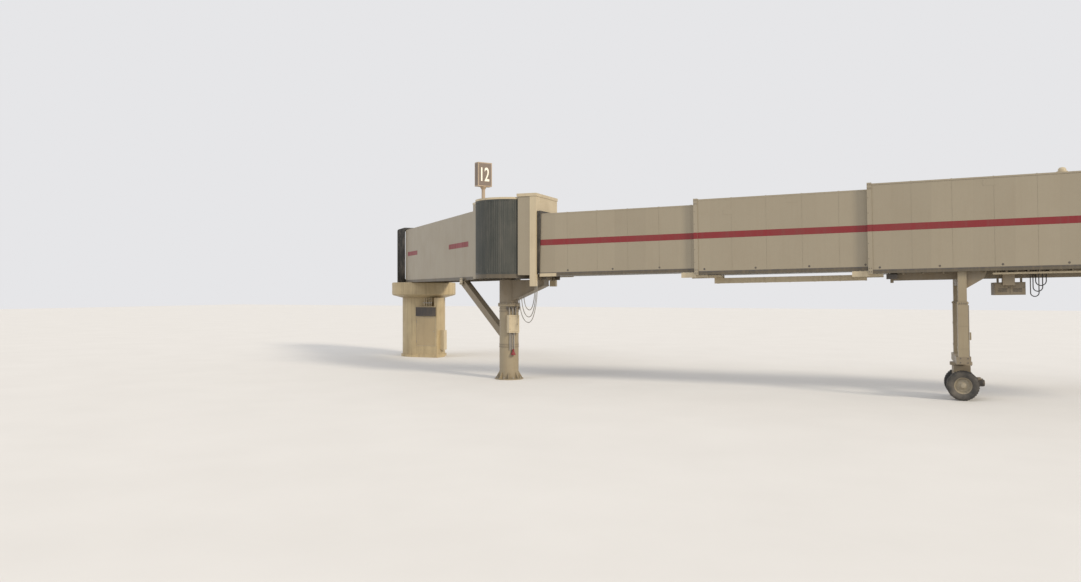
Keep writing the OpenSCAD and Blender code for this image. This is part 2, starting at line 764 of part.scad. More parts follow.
module bogie_frame() {
  ground = wheel_z - wheel_d / 2;
  inner = wheel_track / 2 - wheel_w / 2 - 40;
  color(steel_color) in_tunnel() translate([lift_at, 0, ground]) {
    difference() {
      union() {
        block([-220, -lift_track / 2 - lift_lower_w / 2, 1250], [220, lift_track / 2 + lift_lower_w / 2, 1500]);
        translate([0, 0, 1150]) cylinder(d = 700, h = 100);
        block([-260, -inner, 700], [260, inner, 1150]);
        both_sides() block([-160, inner - 100, wheel_d / 2 - 130], [160, inner, 700]);
      }
      both_sides() translate([0, inner - 101, wheel_d / 2]) rotate([-90, 0, 0]) cylinder(d = 120, h = 102);
    }
    both_sides() translate([0, inner - 120, wheel_d / 2]) rotate([-90, 0, 0])
      cylinder(d = 120, h = wheel_track / 2 - inner + 120 - 40);
  }
}

module wheels() {
  color(rubber_color) in_tunnel() both_sides()
    translate([lift_at, wheel_track / 2, wheel_z]) rotate([90, 0, 0]) difference() {
      rotate_extrude() translate([0, -wheel_w / 2]) polygon([
        [0, 60], [230, 60], [250, 0], [wheel_d / 2 - 40, 0], [wheel_d / 2, 40],
        [wheel_d / 2, wheel_w - 40], [wheel_d / 2 - 40, wheel_w], [250, wheel_w],
        [230, wheel_w - 90], [0, wheel_w - 90]]);
      translate([0, 0, -40]) cylinder(d = 120, h = wheel_w);
    }
}

module wheel_motors() {
  ground = wheel_z - wheel_d / 2;
  inner = wheel_track / 2 - wheel_w / 2 - 40;
  color(dark_color) in_tunnel() translate([lift_at, 0, ground]) both_sides() {
    block([160, 20, 430], [420, inner - 20, 690]);
    translate([420, inner / 2, 560]) rotate([0, 90, 0]) cylinder(d = 220, h = 260);
  }
}

// Round end of the cab, cut off where the outer tunnel starts
module cab_disc(r, z, t) {
  intersection() {
    translate([cab_centre, 0, z]) cylinder(r = r, h = t);
    block([c_end, -r, z], [cab_front, r, z + t]);
  }
}

module cab_floor() {
  top = floor_hi(2);
  color(steel_color) in_tunnel() {
    cab_disc(cab_r, top - cab_floor_t, cab_floor_t);
    block([cab_centre, -cab_wall_y - 60, top - cab_floor_t], [cab_front, cab_wall_y + 60, top]);
    block([c_end, -half_w(2), top - cab_floor_t], [cab_centre, half_w(2), top]);
  }
}

module cab_roof() {
  color(trim_color) in_tunnel() {
    cab_disc(cab_r + 30, cab_room_hi, 100);
    block([cab_centre, -cab_wall_y - 60, cab_room_hi], [cab_front, cab_wall_y + 60, cab_room_hi + 100]);
    block([c_end, -half_w(2), cab_room_hi], [cab_centre, half_w(2), cab_room_hi + 100]);
  }
}

module cab_curtains() {
  back = 180 - asin(half_w(2) / cab_r);
  front = asin(cab_wall_y / cab_r);
  color(slat_color) in_tunnel() both_sides() translate([cab_centre, 0, 0])
    slat_curtain(cab_r, 20, front, back, floor_hi(2), cab_room_hi);
}

cab_side_start = sqrt(pow(cab_r, 2) - pow(cab_wall_y, 2)) + cab_gap;
window_lo = floor_hi(2) + 950;
window_hi = window_lo + 1050;
window_len = 1050;

module cab_walls() {
  color(wall_color) in_tunnel() both_sides() {
    difference() {
      block([cab_centre + cab_side_start, cab_wall_y, floor_hi(2)],
            [cab_front, cab_wall_y + 60, cab_room_hi]);
      block([cab_front - 250 - window_len, cab_wall_y - 1, window_lo],
            [cab_front - 250, cab_wall_y + 61, window_hi]);
    }
    block([cab_front - 120, cab_wall_y - 200, floor_hi(2)], [cab_front, cab_wall_y, cab_room_hi]);
  }
}

module cab_windows() {
  color([0.2, 0.25, 0.27, 0.5]) in_tunnel() both_sides()
    block([cab_front - 250 - window_len, cab_wall_y + 24, window_lo],
          [cab_front - 250, cab_wall_y + 36, window_hi]);
}

// Folding hood, open to the front and below, with a ridge and a valley for each fold
module cab_canopy() {
  lo = floor_hi(2) + 60;
  half = cab_wall_y + 20;
  fold = canopy_len / canopy_folds;
  depth = 110;
  color(dark_color) in_tunnel() difference() {
    union() for (i = [0 : canopy_folds - 1]) {
      block([cab_front + i * fold, -half + depth / 2, lo],
            [cab_front + (i + 0.5) * fold, half - depth / 2, cab_room_hi + 60 - depth / 2]);
      block([cab_front + (i + 0.5) * fold, -half, lo],
            [cab_front + (i + 1) * fold, half, cab_room_hi + 60]);
    }
    block([cab_front - 1, -half + depth, lo - 1],
          [cab_front + canopy_len + 1, half - depth, cab_room_hi + 60 - depth]);
  }
}

module cab_bumper() {
  z = floor_hi(2) - cab_floor_t / 2;
  color(rubber_color) in_tunnel() translate([cab_front, cab_wall_y - 100, z]) rotate([90, 0, 0])
    difference() {
      cylinder(r = 130, h = 2 * cab_wall_y - 200);
      block([-200, -200, -1], [0, 200, 2 * cab_wall_y]);
    }
}

terminal_seal();
walkway_floor();
walkway_walls();
walkway_roof();
pier_shaft();
pier_cap();
pier_door();
rotunda_portal();
rotunda_floor();
rotunda_roof();
curtain_near();
curtain_far();
rotunda_column();
column_struts();
junction_box();
gate_sign();
swing_frame();
swing_sides();
swing_floor();
swing_roof();
swing_bracket();
hinge_seal();
tunnel_a_floor();
tunnel_a_walls();
tunnel_a_roof();
tunnel_b_frame();
tunnel_b_floor();
tunnel_b_walls();
tunnel_b_roof();
tunnel_b_rollers();
tunnel_c_frame();
tunnel_c_floor();
tunnel_c_walls();
tunnel_c_roof();
tunnel_c_rollers();
tunnel_c_underframe();
equipment_boxes();
lift_tubes();
lift_legs();
bogie_frame();
wheels();
wheel_motors();
cab_floor();
cab_roof();
cab_curtains();
cab_walls();
cab_windows();
cab_canopy();
cab_bumper();
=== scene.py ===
"""Finishes of an apron drive jet bridge, laid over its packed construction model."""
import json
import math

import bmesh
import bpy
from bpy.props import FloatProperty, FloatVectorProperty, IntProperty, PointerProperty
from mathutils import Matrix, Vector
from mathutils.geometry import interpolate_bezier


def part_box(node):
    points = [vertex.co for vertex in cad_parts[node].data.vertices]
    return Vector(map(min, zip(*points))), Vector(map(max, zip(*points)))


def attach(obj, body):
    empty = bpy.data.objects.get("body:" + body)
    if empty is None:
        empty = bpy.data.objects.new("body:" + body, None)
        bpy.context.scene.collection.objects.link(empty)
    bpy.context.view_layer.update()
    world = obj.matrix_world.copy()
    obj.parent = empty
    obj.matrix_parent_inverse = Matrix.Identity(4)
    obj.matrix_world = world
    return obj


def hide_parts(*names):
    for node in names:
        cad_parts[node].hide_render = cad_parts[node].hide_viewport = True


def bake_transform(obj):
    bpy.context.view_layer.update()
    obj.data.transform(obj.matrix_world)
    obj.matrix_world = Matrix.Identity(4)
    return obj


bl_info = {
    "name": "Jet Bridge Finishes",
    "version": (1, 0, 0),
    "blender": (4, 5, 0),
    "location": "View3D > Sidebar > Jet Bridge",
    "description": "Adds paint, slats, bolts, cables, tyres and folds to the jet bridge",
    "category": "Object",
}

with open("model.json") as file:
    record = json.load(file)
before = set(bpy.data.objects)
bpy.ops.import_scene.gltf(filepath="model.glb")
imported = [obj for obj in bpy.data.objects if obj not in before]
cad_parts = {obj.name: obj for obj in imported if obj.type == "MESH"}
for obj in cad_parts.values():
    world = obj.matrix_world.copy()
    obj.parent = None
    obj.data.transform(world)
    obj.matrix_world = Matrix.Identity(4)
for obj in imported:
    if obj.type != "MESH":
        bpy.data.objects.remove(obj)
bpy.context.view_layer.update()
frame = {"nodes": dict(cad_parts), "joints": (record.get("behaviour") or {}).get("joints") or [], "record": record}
JOINTS = {joint["name"]: joint for joint in frame["joints"]}
HINGE = Vector(JOINTS["tunnel_pitch"]["pos_m"])
ALONG = Vector(JOINTS["tunnel_b_slide"]["axis"]).normalized()
SLOPE = math.asin(ALONG.z)
TUNNEL = Matrix.Translation(HINGE) @ Matrix.Rotation(-SLOPE, 4, "Y")
ROW = Matrix.Identity(4)
ORIGIN = Vector((0, 0, 0))
UP = Vector((0, 0, 1))


def local_box(node, space=ROW):
    """Lowest and highest corner of a CAD node, measured along the axes of a space."""
    inverse = space.inverted()
    points = [inverse @ v.co for v in frame["nodes"][node].data.vertices]
    return (
        Vector(min(p[i] for p in points) for i in range(3)),
        Vector(max(p[i] for p in points) for i in range(3)),
    )


def heading(node):
    """Direction of a node's middle from the swing axis, seen from above."""
    lo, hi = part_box(node)
    return math.atan2(lo.y + hi.y, lo.x + hi.x)


WALKWAY = Matrix.Rotation(heading("pier_cap"), 4, "Z")

# Mesh helpers


def add_box(bm, lo, hi, bevel=0.0, segments=2):
    """A box between two corners, its edges rounded."""
    size = Vector(hi) - Vector(lo)
    centre = (Vector(hi) + Vector(lo)) / 2
    place = Matrix.Translation(centre) @ Matrix.Diagonal((*size, 1.0))
    made = bmesh.ops.create_cube(bm, size=1.0, matrix=place)
    if bevel:
        edges = list({e for v in made["verts"] for e in v.link_edges})
        bmesh.ops.bevel(bm, geom=edges, offset=bevel, segments=segments, affect="EDGES", profile=0.5, material=-1)


def add_pair(bm, x, near, far, z, bevel=0.0, segments=2):
    """A box on each side of the middle line, between two distances from it."""
    for side in (-1, 1):
        y0, y1 = sorted((side * near, side * far))
        add_box(bm, (x[0], y0, z[0]), (x[1], y1, z[1]), bevel, segments)


def add_rod(bm, start, end, radius, sides=16, far_radius=None):
    """A round bar or cone from one point to another."""
    start, end = Vector(start), Vector(end)
    way = end - start
    turn = way.to_track_quat("Z", "Y").to_matrix().to_4x4()
    bmesh.ops.create_cone(
        bm, cap_ends=True, segments=sides, radius1=radius,
        radius2=radius if far_radius is None else far_radius,
        depth=way.length, matrix=Matrix.Translation((start + end) / 2) @ turn,
    )


def join(bm, other, place=ROW):
    """Adds another bmesh, moved to its place, and frees it."""
    bmesh.ops.transform(other, matrix=place, verts=other.verts)
    mesh = bpy.data.meshes.new("part")
    other.to_mesh(mesh)
    other.free()
    bm.from_mesh(mesh)
    bpy.data.meshes.remove(mesh)


def add_bolt(bm, at, way, size=0.012, height=0.01):
    """A hexagonal bolt head on a round washer."""
    at, way = Vector(at), Vector(way).normalized()
    washer = at + way * height * 0.3
    add_rod(bm, at, washer, size * 1.5, 12)
    add_rod(bm, washer, washer + way * height, size, 6)


def add_bolts(bm, xs, y, zs, size, height):
    """Bolts at every x and z, on both sides of the middle line."""
    for side in (-1, 1):
        for x in xs:
            for z in zs:
                add_bolt(bm, (x, side * y, z), (0, side, 0), size, height)


def ring(count, radius, z=0.0, first=0.0):
    """Points on a level circle round the column's axis, the first at a share of a step."""
    turns = (math.tau * (i + first) / count for i in range(count))
    return [Vector((radius * math.cos(turn), radius * math.sin(turn), z)) for turn in turns]


def add_object(name, data):
    """A new object in the scene."""
    thing = bpy.data.objects.new(name, data)
    bpy.context.scene.collection.objects.link(thing)
    return thing


def make_piece(name, bm, space, finish, body, smooth=False, outward=False):
    """Turns a bmesh into a finished piece whose place is in its mesh."""
    if outward:
        bmesh.ops.recalc_face_normals(bm, faces=bm.faces)
    bmesh.ops.transform(bm, matrix=space, verts=bm.verts)
    mesh = bpy.data.meshes.new(name)
    bm.to_mesh(mesh)
    bm.free()
    for face in mesh.polygons:
        face.use_smooth = smooth
    piece = add_object(name, mesh)
    mesh.materials.append(MATERIALS[finish])
    if body:
        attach(piece, body)
    return piece


def mesh_of(curve):
    """A bmesh of a curve or a text, which is given up."""
    holder = add_object(curve.name + "_curve", curve)
    bpy.context.view_layer.update()
    mesh = bpy.data.meshes.new_from_object(holder)
    bpy.data.objects.remove(holder)
    bm = bmesh.new()
    bm.from_mesh(mesh)
    bpy.data.meshes.remove(mesh)
    return bm


def round_curve(name, radius):
    """An empty round curve with closed ends."""
    curve = bpy.data.curves.new(name, "CURVE")
    curve.dimensions = "3D"
    curve.bevel_depth = radius
    curve.bevel_resolution = 3
    curve.use_fill_caps = True
    return curve


def make_cable(name, runs, radius, space, finish, body, resolution=10):
    """Round cables or pipes along smooth curves."""
    curve = round_curve(name, radius)
    curve.resolution_u = resolution
    for run in runs:
        spline = curve.splines.new("BEZIER")
        spline.bezier_points.add(len(run) - 1)
        for knot, place in zip(spline.bezier_points, run):
            knot.co = place
            knot.handle_left_type = knot.handle_right_type = "AUTO"
    return make_piece(name, mesh_of(curve), space, finish, body, smooth=True)


def make_cord(name, path, diameter, space, body, finish="cable_black"):
    """A hanging cable that follows close points and goes back into the object."""
    places = [space @ Vector(p) for p in path]
    curve = round_curve(name, diameter / 2)
    spline = curve.splines.new("POLY")
    spline.points.add(len(places) - 1)
    for knot, place in zip(spline.points, places):
        knot.co = (*place, 1.0)
    piece = make_piece(name, mesh_of(curve), ROW, finish, body, smooth=True)


def sagging(start, end, sag, steps=14):
    """Points of a cable that leaves start downwards, hangs in a loop and rises to end."""
    low = (start + end) / 2
    low.z = min(start.z, end.z) - sag
    flat = (end - start).to_2d().to_3d() * 0.32
    fall, rise = Vector((0, 0, (low.z - start.z) / 2)), Vector((0, 0, (end.z - low.z) / 2))
    points = []
    for a, b, leave, arrive in ((start, low, fall, flat), (low, end, flat, rise)):
        points += interpolate_bezier(a, a + leave, b - arrive, b, steps + 1)[:-1]
    return points + [end]


def u_loop(at, drop, radius, legs=6, count=16):
    """Points of a cable loop that hangs straight down, turns round and rises again."""
    down = [at + Vector((-radius, 0, -drop * i / legs)) for i in range(legs)]
    up = [at + Vector((radius, 0, -drop * i / legs)) for i in reversed(range(legs))]
    turns = (math.pi * i / count for i in range(count + 1))
    bend = [at + Vector((-radius * math.cos(turn), 0, -drop - radius * math.sin(turn))) for turn in turns]
    return down + bend + up


def arc_of(points, centre):
    """Start and end angle and outer radius of an upright round wall, seen from above."""
    flat = [Vector((p.x - centre.x, p.y - centre.y)) for p in points]
    angles = sorted(math.atan2(p.y, p.x) % math.tau for p in flat)
    gaps = [(b - a) % math.tau for a, b in zip(angles, angles[1:] + angles[:1])]
    widest = gaps.index(max(gaps))
    start = angles[(widest + 1) % len(angles)]
    return start, start + math.tau - max(gaps), max(p.length for p in flat)


def add_arc_wall(bm, centre, start, end, steps, low, high, outer, skin):
    """An upright curved wall whose outer radius at each step is outer(step)."""
    rows = []
    base = Vector((centre.x, centre.y, 0.0))
    for i in range(steps + 1):
        angle = start + (end - start) * i / steps
        way = Vector((math.cos(angle), math.sin(angle), 0.0))
        corners = ((outer(i), low), (outer(i), high), (outer(i) - skin, high), (outer(i) - skin, low))
        rows.append([bm.verts.new(base + way * r + Vector((0, 0, z))) for r, z in corners])
    for a, b in zip(rows, rows[1:]):
        add_faces(bm, a + a[:1], b + b[:1])
    bm.faces.new(rows[0])
    bm.faces.new(rows[-1])


def add_slats(bm, centre, start, end, radius, low, high, depth=0.016, skin=0.003, rail=0.07, gap=0.003):
    """A curtain of upright bowed slats with a ribbed rail at its foot and head."""
    count = max(3, round(abs(end - start) * radius / looks().slat_pitch))
    per_slat = 6

    def bowed(i):
        return radius - depth * abs(math.cos(math.pi * i / per_slat)) ** 3 - 0.002

    add_arc_wall(bm, centre, start, end, count * per_slat, low + rail, high - rail, bowed, skin)
    for foot in (low, high - rail):
        for z in (foot, foot + rail / 2):
            add_arc_wall(bm, centre, start, end, count * 2, z + gap, z + rail / 2 - gap, lambda i: radius, 0.014)
        add_arc_wall(bm, centre, start, end, count * 2, foot, foot + rail, lambda i: radius - 0.006, 0.006)


def u_path(half, low, high, radius, corner=5):
    """Points of an upside-down U across a passage, its top corners round."""
    points = [Vector((-half, low))]
    for side, first in ((-1, math.pi), (1, math.pi / 2)):
        centre = Vector((side * (half - radius), high - radius))
        for i in range(corner + 1):
            angle = first - math.pi / 2 * i / corner
            points.append(centre + Vector((math.cos(angle), math.sin(angle))) * radius)
    points.append(Vector((half, low)))
    return points


def add_faces(bm, a, b):
    """A strip of faces between two rows of as many vertices."""
    for k in range(len(a) - 1):
        bm.faces.new((a[k], a[k + 1], b[k + 1], b[k]))


def add_bellows(bm, start, end, folds, half, low, high, depth, skin=0.008, radius=0.12, per_fold=8):
    """A folded skin round the sides and top of a passage, closed at its edges."""
    steps = folds * per_fold
    outer, inner = [], []
    for i in range(steps + 1):
        x = start + (end - start) * i / steps
        inset = depth * abs(math.cos(math.pi * i / per_fold)) ** 1.6
        for rings, shrink in ((outer, inset), (inner, inset + skin)):
            path = u_path(half - shrink, low, high - shrink, max(0.02, radius - shrink / 2))
            rings.append([bm.verts.new((x, p.x, p.y)) for p in path])
    for rings in (outer, inner):
        for a, b in zip(rings, rings[1:]):
            add_faces(bm, a, b)
    for k in (0, -1):
        add_faces(bm, outer[k], inner[k])
        add_faces(bm, [path[k] for path in outer], [path[k] for path in inner])


def add_lip(bm, start, end, outer, inner):
    """A flat ring across a passage between two U-shaped paths of as many points."""
    rings = [[bm.verts.new((x, p.x, p.y)) for p in path] for x in (start, end) for path in (outer, inner)]
    front_out, front_in, back_out, back_in = rings
    for a, b in ((front_out, front_in), (back_out, back_in), (front_out, back_out), (front_in, back_in)):
        add_faces(bm, a, b)
    for k in (0, -1):
        bm.faces.new((front_out[k], front_in[k], back_in[k], back_out[k]))


def add_turned(bm, profile, centre, axis="Y", steps=48):
    """A round piece from its profile of (radius, place along the axis) points."""
    points = [bm.verts.new((r, a, 0.0) if axis == "Y" else (r, 0.0, a)) for r, a in profile]
    edges = [bm.edges.new(pair) for pair in zip(points, points[1:])]
    way = (0, 1, 0) if axis == "Y" else (0, 0, 1)
    bmesh.ops.spin(bm, geom=points + edges, cent=(0, 0, 0), axis=way, angle=math.tau, steps=steps,
                   use_merge=True, use_duplicate=False)
    bmesh.ops.remove_doubles(bm, verts=bm.verts, dist=1e-5)
    bmesh.ops.translate(bm, verts=bm.verts, vec=centre)


# Material helpers

BUMP_DEPTH = 0.002


def add_node(tree, kind, inputs, output=0, **settings):
    """Adds a shader node, sets or links its inputs, and gives one output, or the node for None."""
    node = tree.nodes.new(kind)
    for key, value in settings.items():
        setattr(node, key, value)
    for socket, value in inputs.items():
        if isinstance(value, bpy.types.NodeSocket):
            tree.links.new(value, node.inputs[socket])
        else:
            node.inputs[socket].default_value = value
    return node if output is None else node.outputs[output]


def noise(tree, vector, scale, detail=4.0, rough=0.55):
    inputs = {"Vector": vector, "Scale": scale, "Detail": detail, "Roughness": rough}
    return add_node(tree, "ShaderNodeTexNoise", inputs, "Fac")


def ramp(tree, value, low, high, to_low=0.0, to_high=1.0):
    inputs = {"Value": value, "From Min": low, "From Max": high, "To Min": to_low, "To Max": to_high}
    return add_node(tree, "ShaderNodeMapRange", inputs, "Result")


def math_node(tree, operation, a, b):
    return add_node(tree, "ShaderNodeMath", {0: a, 1: b}, operation=operation)


def mix_color(tree, fac, a, b):
    a, b = ((*value[:3], 1.0) if isinstance(value, tuple) else value for value in (a, b))
    return add_node(tree, "ShaderNodeMix", {"Factor": fac, "A": a, "B": b}, "Result", data_type="RGBA")


def weather_group():
    """Rain streaks, blotches and small chips over any paint."""
    tree = bpy.data.node_groups.new("weathering", "ShaderNodeTree")
    for label, kind, value in (
        ("Vector", "NodeSocketVector", (0, 0, 0)),
        ("Paint", "NodeSocketColor", (0.5, 0.5, 0.5, 1)),
        ("Grime", "NodeSocketColor", (0.2, 0.16, 0.1, 1)),
        ("Streaks", "NodeSocketFloat", 0.4),
        ("Blotches", "NodeSocketFloat", 0.3),
        ("Chips", "NodeSocketFloat", 0.1),
    ):
        tree.interface.new_socket(label, in_out="INPUT", socket_type=kind).default_value = value
    for label, kind in (("Color", "NodeSocketColor"), ("Roughness", "NodeSocketFloat"), ("Height", "NodeSocketFloat")):
        tree.interface.new_socket(label, in_out="OUTPUT", socket_type=kind)
    given = tree.nodes.new("NodeGroupInput").outputs
    vector = given["Vector"]
    upright = add_node(tree, "ShaderNodeMapping", {"Vector": vector, "Scale": (9.0, 9.0, 0.45)}, "Vector")
    streak = ramp(tree, noise(tree, upright, 1.0, 5.0, 0.6), 0.48, 0.72)
    blotch = ramp(tree, noise(tree, vector, 0.9, 6.0, 0.6), 0.42, 0.7)
    chip = ramp(tree, noise(tree, vector, 34.0, 6.0, 0.7), 0.68, 0.72)
    streak = math_node(tree, "MULTIPLY", streak, given["Streaks"])
    blotch = math_node(tree, "MULTIPLY", blotch, given["Blotches"])
    chip = math_node(tree, "MULTIPLY", chip, given["Chips"])
    stain = math_node(tree, "ADD", streak, blotch)
    dirty = mix_color(tree, stain, given["Paint"], given["Grime"])
    rust = (0.12, 0.075, 0.05)
    add_node(tree, "NodeGroupOutput", {
        "Color": mix_color(tree, chip, dirty, rust),
        "Roughness": ramp(tree, stain, 0.0, 0.7, 0.42, 0.78),
        "Height": math_node(tree, "SUBTRACT", noise(tree, vector, 60.0, 3.0, 0.5), chip),
    }, None)


def new_material(name):
    material = bpy.data.materials.new(name)
    material.use_nodes = True
    tree = material.node_tree
    shader = next(n for n in tree.nodes if n.type == "BSDF_PRINCIPLED")
    coords = tree.nodes.new("ShaderNodeTexCoord").outputs["Object"]
    return material, tree, shader, coords


def dress(tree, shader, color, roughness, height=None, bump=0.0):
    """Links what changes over the surface to the shader."""
    tree.links.new(color, shader.inputs["Base Color"])
    tree.links.new(roughness, shader.inputs["Roughness"])
    if height is not None:
        inputs = {"Strength": bump, "Distance": BUMP_DEPTH, "Height": height}
        tree.links.new(add_node(tree, "ShaderNodeBump", inputs, "Normal"), shader.inputs["Normal"])


def paint(name, color, grime=(0.20, 0.15, 0.09), streaks=0.35, blotches=0.25, chips=0.1,
          metallic=0.0, panel=0.0, bump=0.12):
    """Weathered paint, with a slight change of tone from panel to panel where asked."""
    material, tree, shader, coords = new_material(name)
    shader.inputs["Metallic"].default_value = metallic
    tone = (*color, 1.0)
    if panel:
        along = add_node(tree, "ShaderNodeSeparateXYZ", {0: coords}, "X")
        step = math_node(tree, "FLOOR", math_node(tree, "DIVIDE", along, panel), 0.0)
        draw = add_node(tree, "ShaderNodeTexWhiteNoise", {"W": step}, "Value", noise_dimensions="1D")
        dark, pale = tuple(c * 0.96 for c in color), tuple(min(1.0, c * 1.03) for c in color)
        tone = mix_color(tree, draw, dark, pale)
    inputs = {"Vector": coords, "Paint": tone, "Grime": (*grime, 1.0), "Streaks": streaks,
              "Blotches": blotches, "Chips": chips}
    worn = add_node(tree, "ShaderNodeGroup", inputs, None, node_tree=bpy.data.node_groups["weathering"]).outputs
    dress(tree, shader, worn["Color"], worn["Roughness"], worn["Height"], bump)
    return material


def rubber(name, color, grain=45.0, dust=(0.22, 0.19, 0.15)):
    """Dull rubber with a little dust in its grain."""
    material, tree, shader, coords = new_material(name)
    fine = noise(tree, coords, grain, 5.0, 0.6)
    broad = noise(tree, coords, 1.6, 4.0, 0.6)
    tone = mix_color(tree, ramp(tree, broad, 0.45, 0.75, 0.0, 0.5), color, dust)
    dress(tree, shader, tone, ramp(tree, fine, 0.3, 0.7, 0.65, 0.9), fine, 0.3)
    return material


def glass(name):
    """Tinted glass with a thin film of dirt."""
    material, tree, shader, coords = new_material(name)
    for label, value in (("Metallic", 0.0), ("Transmission Weight", 0.6), ("IOR", 1.45)):
        shader.inputs[label].default_value = value
    film = noise(tree, coords, 1.4, 4.0, 0.6)
    tone = mix_color(tree, ramp(tree, film, 0.4, 0.7), (0.05, 0.07, 0.08), (0.14, 0.15, 0.15))
    dress(tree, shader, tone, ramp(tree, film, 0.4, 0.7, 0.05, 0.22))
    return material


MATERIALS = {}
# Paints whose colour the user picks say only how they weather
PAINTS = {
    "wall_panels": dict(streaks=0.07, blotches=0.10, chips=0.01),
    # The sills' dark colour is painted shade, for the shadow below the rotunda's curtains, the walkway and the
    # tunnels' walls; its streaks and chips are wear
    "sill_painted_shade": dict(color=(0.085, 0.070, 0.048), streaks=0.3, chips=0.15, bump=0.2),
    # The column paint is lighter than the structure paint as painted light, for the lit lower part of the column; the
    # lift's tubes, legs and bands wear it too
    "lit_column_paint": dict(color=(0.28, 0.23, 0.15), streaks=0.35, blotches=0.35, chips=0.12),
    "sign_body": dict(color=(0.40, 0.31, 0.225), streaks=0.2, chips=0.05),
    "trim_paint": dict(streaks=0.28, blotches=0.2, chips=0.08),
    "structure_paint": dict(streaks=0.4, blotches=0.4, chips=0.25, bump=0.2),
    "dark_steel": dict(color=(0.075, 0.066, 0.058), chips=0.2, bump=0.2),
    "slats": dict(grime=(0.13, 0.12, 0.1), metallic=0.1, streaks=0.5),
    "pier_stone": dict(color=(0.44, 0.345, 0.195), streaks=0.45, blotches=0.35, chips=0.15, bump=0.4),
    "stripe_red": dict(grime=(0.14, 0.05, 0.04), streaks=0.3, chips=0.12),
    "sign_face": dict(color=(0.17, 0.13, 0.11), streaks=0.2, chips=0.05),
    "pale_digits": dict(color=(0.93, 0.88, 0.76), streaks=0.1, blotches=0.1, chips=0.0),
    "bare_metal": dict(color=(0.42, 0.40, 0.37), metallic=0.8, streaks=0.25, chips=0.2, bump=0.2),
    "notice_paint": dict(color=(0.37, 0.285, 0.165), streaks=0.2, blotches=0.2, chips=0.05),
    "sign_dark": dict(color=(0.05, 0.042, 0.038), streaks=0.2, chips=0.05),
    "rim_paint": dict(color=(0.30, 0.26, 0.19), streaks=0.3, chips=0.3),
}
RUBBERS = {
    "seal_rubber": dict(color=(0.035, 0.033, 0.03)),
    "tyre_rubber": dict(color=(0.03, 0.029, 0.028), grain=30.0),
    "cable_grey": dict(color=(0.26, 0.245, 0.215)),
    "cable_black": dict(color=(0.02, 0.02, 0.02)),
    "canopy_cloth": dict(color=(0.05, 0.05, 0.055), grain=90.0),
}


def make_materials(looks):
    """Every finish of the bridge, under the name of the slot or the detail that wears it."""
    weather_group()
    picked = {
        "wall_panels": dict(color=tuple(looks.wall_color), panel=looks.panel_pitch),
        "trim_paint": dict(color=tuple(looks.trim_color)),
        "structure_paint": dict(color=tuple(looks.steel_color)),
        "slats": dict(color=tuple(looks.slat_color)),
        "stripe_red": dict(color=tuple(looks.stripe_color)),
    }
    for name, settings in PAINTS.items():
        MATERIALS[name] = paint(name, **settings, **picked.get(name, {}))
    for name, settings in RUBBERS.items():
        MATERIALS[name] = rubber(name, **settings)
    MATERIALS["cab_glass"] = glass("cab_glass")


def color_choice(name, description, default):
    return FloatVectorProperty(name=name, description=description, subtype="COLOR", default=default,
                               min=0.0, max=1.0)


def length_choice(name, description, default, low, high):
    return FloatProperty(name=name, description=description, default=default, min=low, max=high, unit="LENGTH")


class JetBridgeLooks(bpy.types.PropertyGroup):
    """Colours of the paint and sizes of the added details."""

    wall_color: color_choice("Wall Paint", "Colour of the flat wall panels", (0.285, 0.243, 0.174))
    trim_color: color_choice("Trim Paint", "Colour of posts, roofs and end frames", (0.49, 0.41, 0.275))
    steel_color: color_choice("Structure Paint", "Colour of the steelwork below the floors", (0.21, 0.17, 0.115))
    slat_color: color_choice("Slats", "Colour of the rotunda's slatted curtains", (0.042, 0.045, 0.038))
    stripe_color: color_choice("Stripe", "Colour of the stripe along the walls", (0.19, 0.010, 0.013))
    panel_pitch: length_choice("Panel Pitch", "Distance between the seams of the wall panels", 1.23, 0.5, 2.0)
    stripe_height: length_choice("Stripe Height", "Height of the painted stripe", 0.23, 0.05, 0.5)
    stripe_rise: length_choice("Stripe Rise", "Height of the stripe's middle above the rotunda floor", 1.25, 0.8, 2.0)
    slat_pitch: length_choice("Slat Pitch", "Width of each slat of the curtains", 0.08, 0.04, 0.2)
    tread_count: IntProperty(name="Tyre Lugs", description="Lugs round each tyre", default=36, min=12, max=60)


def looks():
    return bpy.context.scene.jet_bridge_looks


class JetBridgeStep(bpy.types.Operator):
    """Shared base of the steps."""

    bl_idname = "jetbridge.step"
    bl_label = "Step"

    def build(self):
        raise NotImplementedError

    def execute(self, context):
        self.build()
        return {"FINISHED"}


class PaintStructure(JetBridgeStep):
    """Give every part of the construction model its finish"""

    bl_idname = "jetbridge.paint_structure"
    bl_label = "Paint Structure"
    # Nodes that wear another finish than their slot's
    finishes = {
        # The floors wear the dark sill paint, which is painted shade
        "sill_painted_shade": ("rotunda_floor", "walkway_floor", "tunnel_a_floor", "tunnel_b_floor", "tunnel_c_floor"),
        "wall_panels": ("rotunda_portal", "tunnel_b_frame", "tunnel_c_frame", "tunnel_a_roof", "tunnel_b_roof",
                        "tunnel_c_roof", "walkway_roof"),
        # The column and the lift's tubes and legs wear the lighter column paint, which is painted light
        "lit_column_paint": ("rotunda_column", "lift_tubes", "lift_legs"),
        "sign_body": ("gate_sign",),
    }

    def build(self):
        make_materials(looks())
        other = {node: finish for finish, nodes in self.finishes.items() for node in nodes}
        for part in frame["record"]["subparts"]:
            mesh = frame["nodes"][part["node"]].data
            mesh.materials.clear()
            mesh.materials.append(MATERIALS[other.get(part["node"], part["material_slot"])])


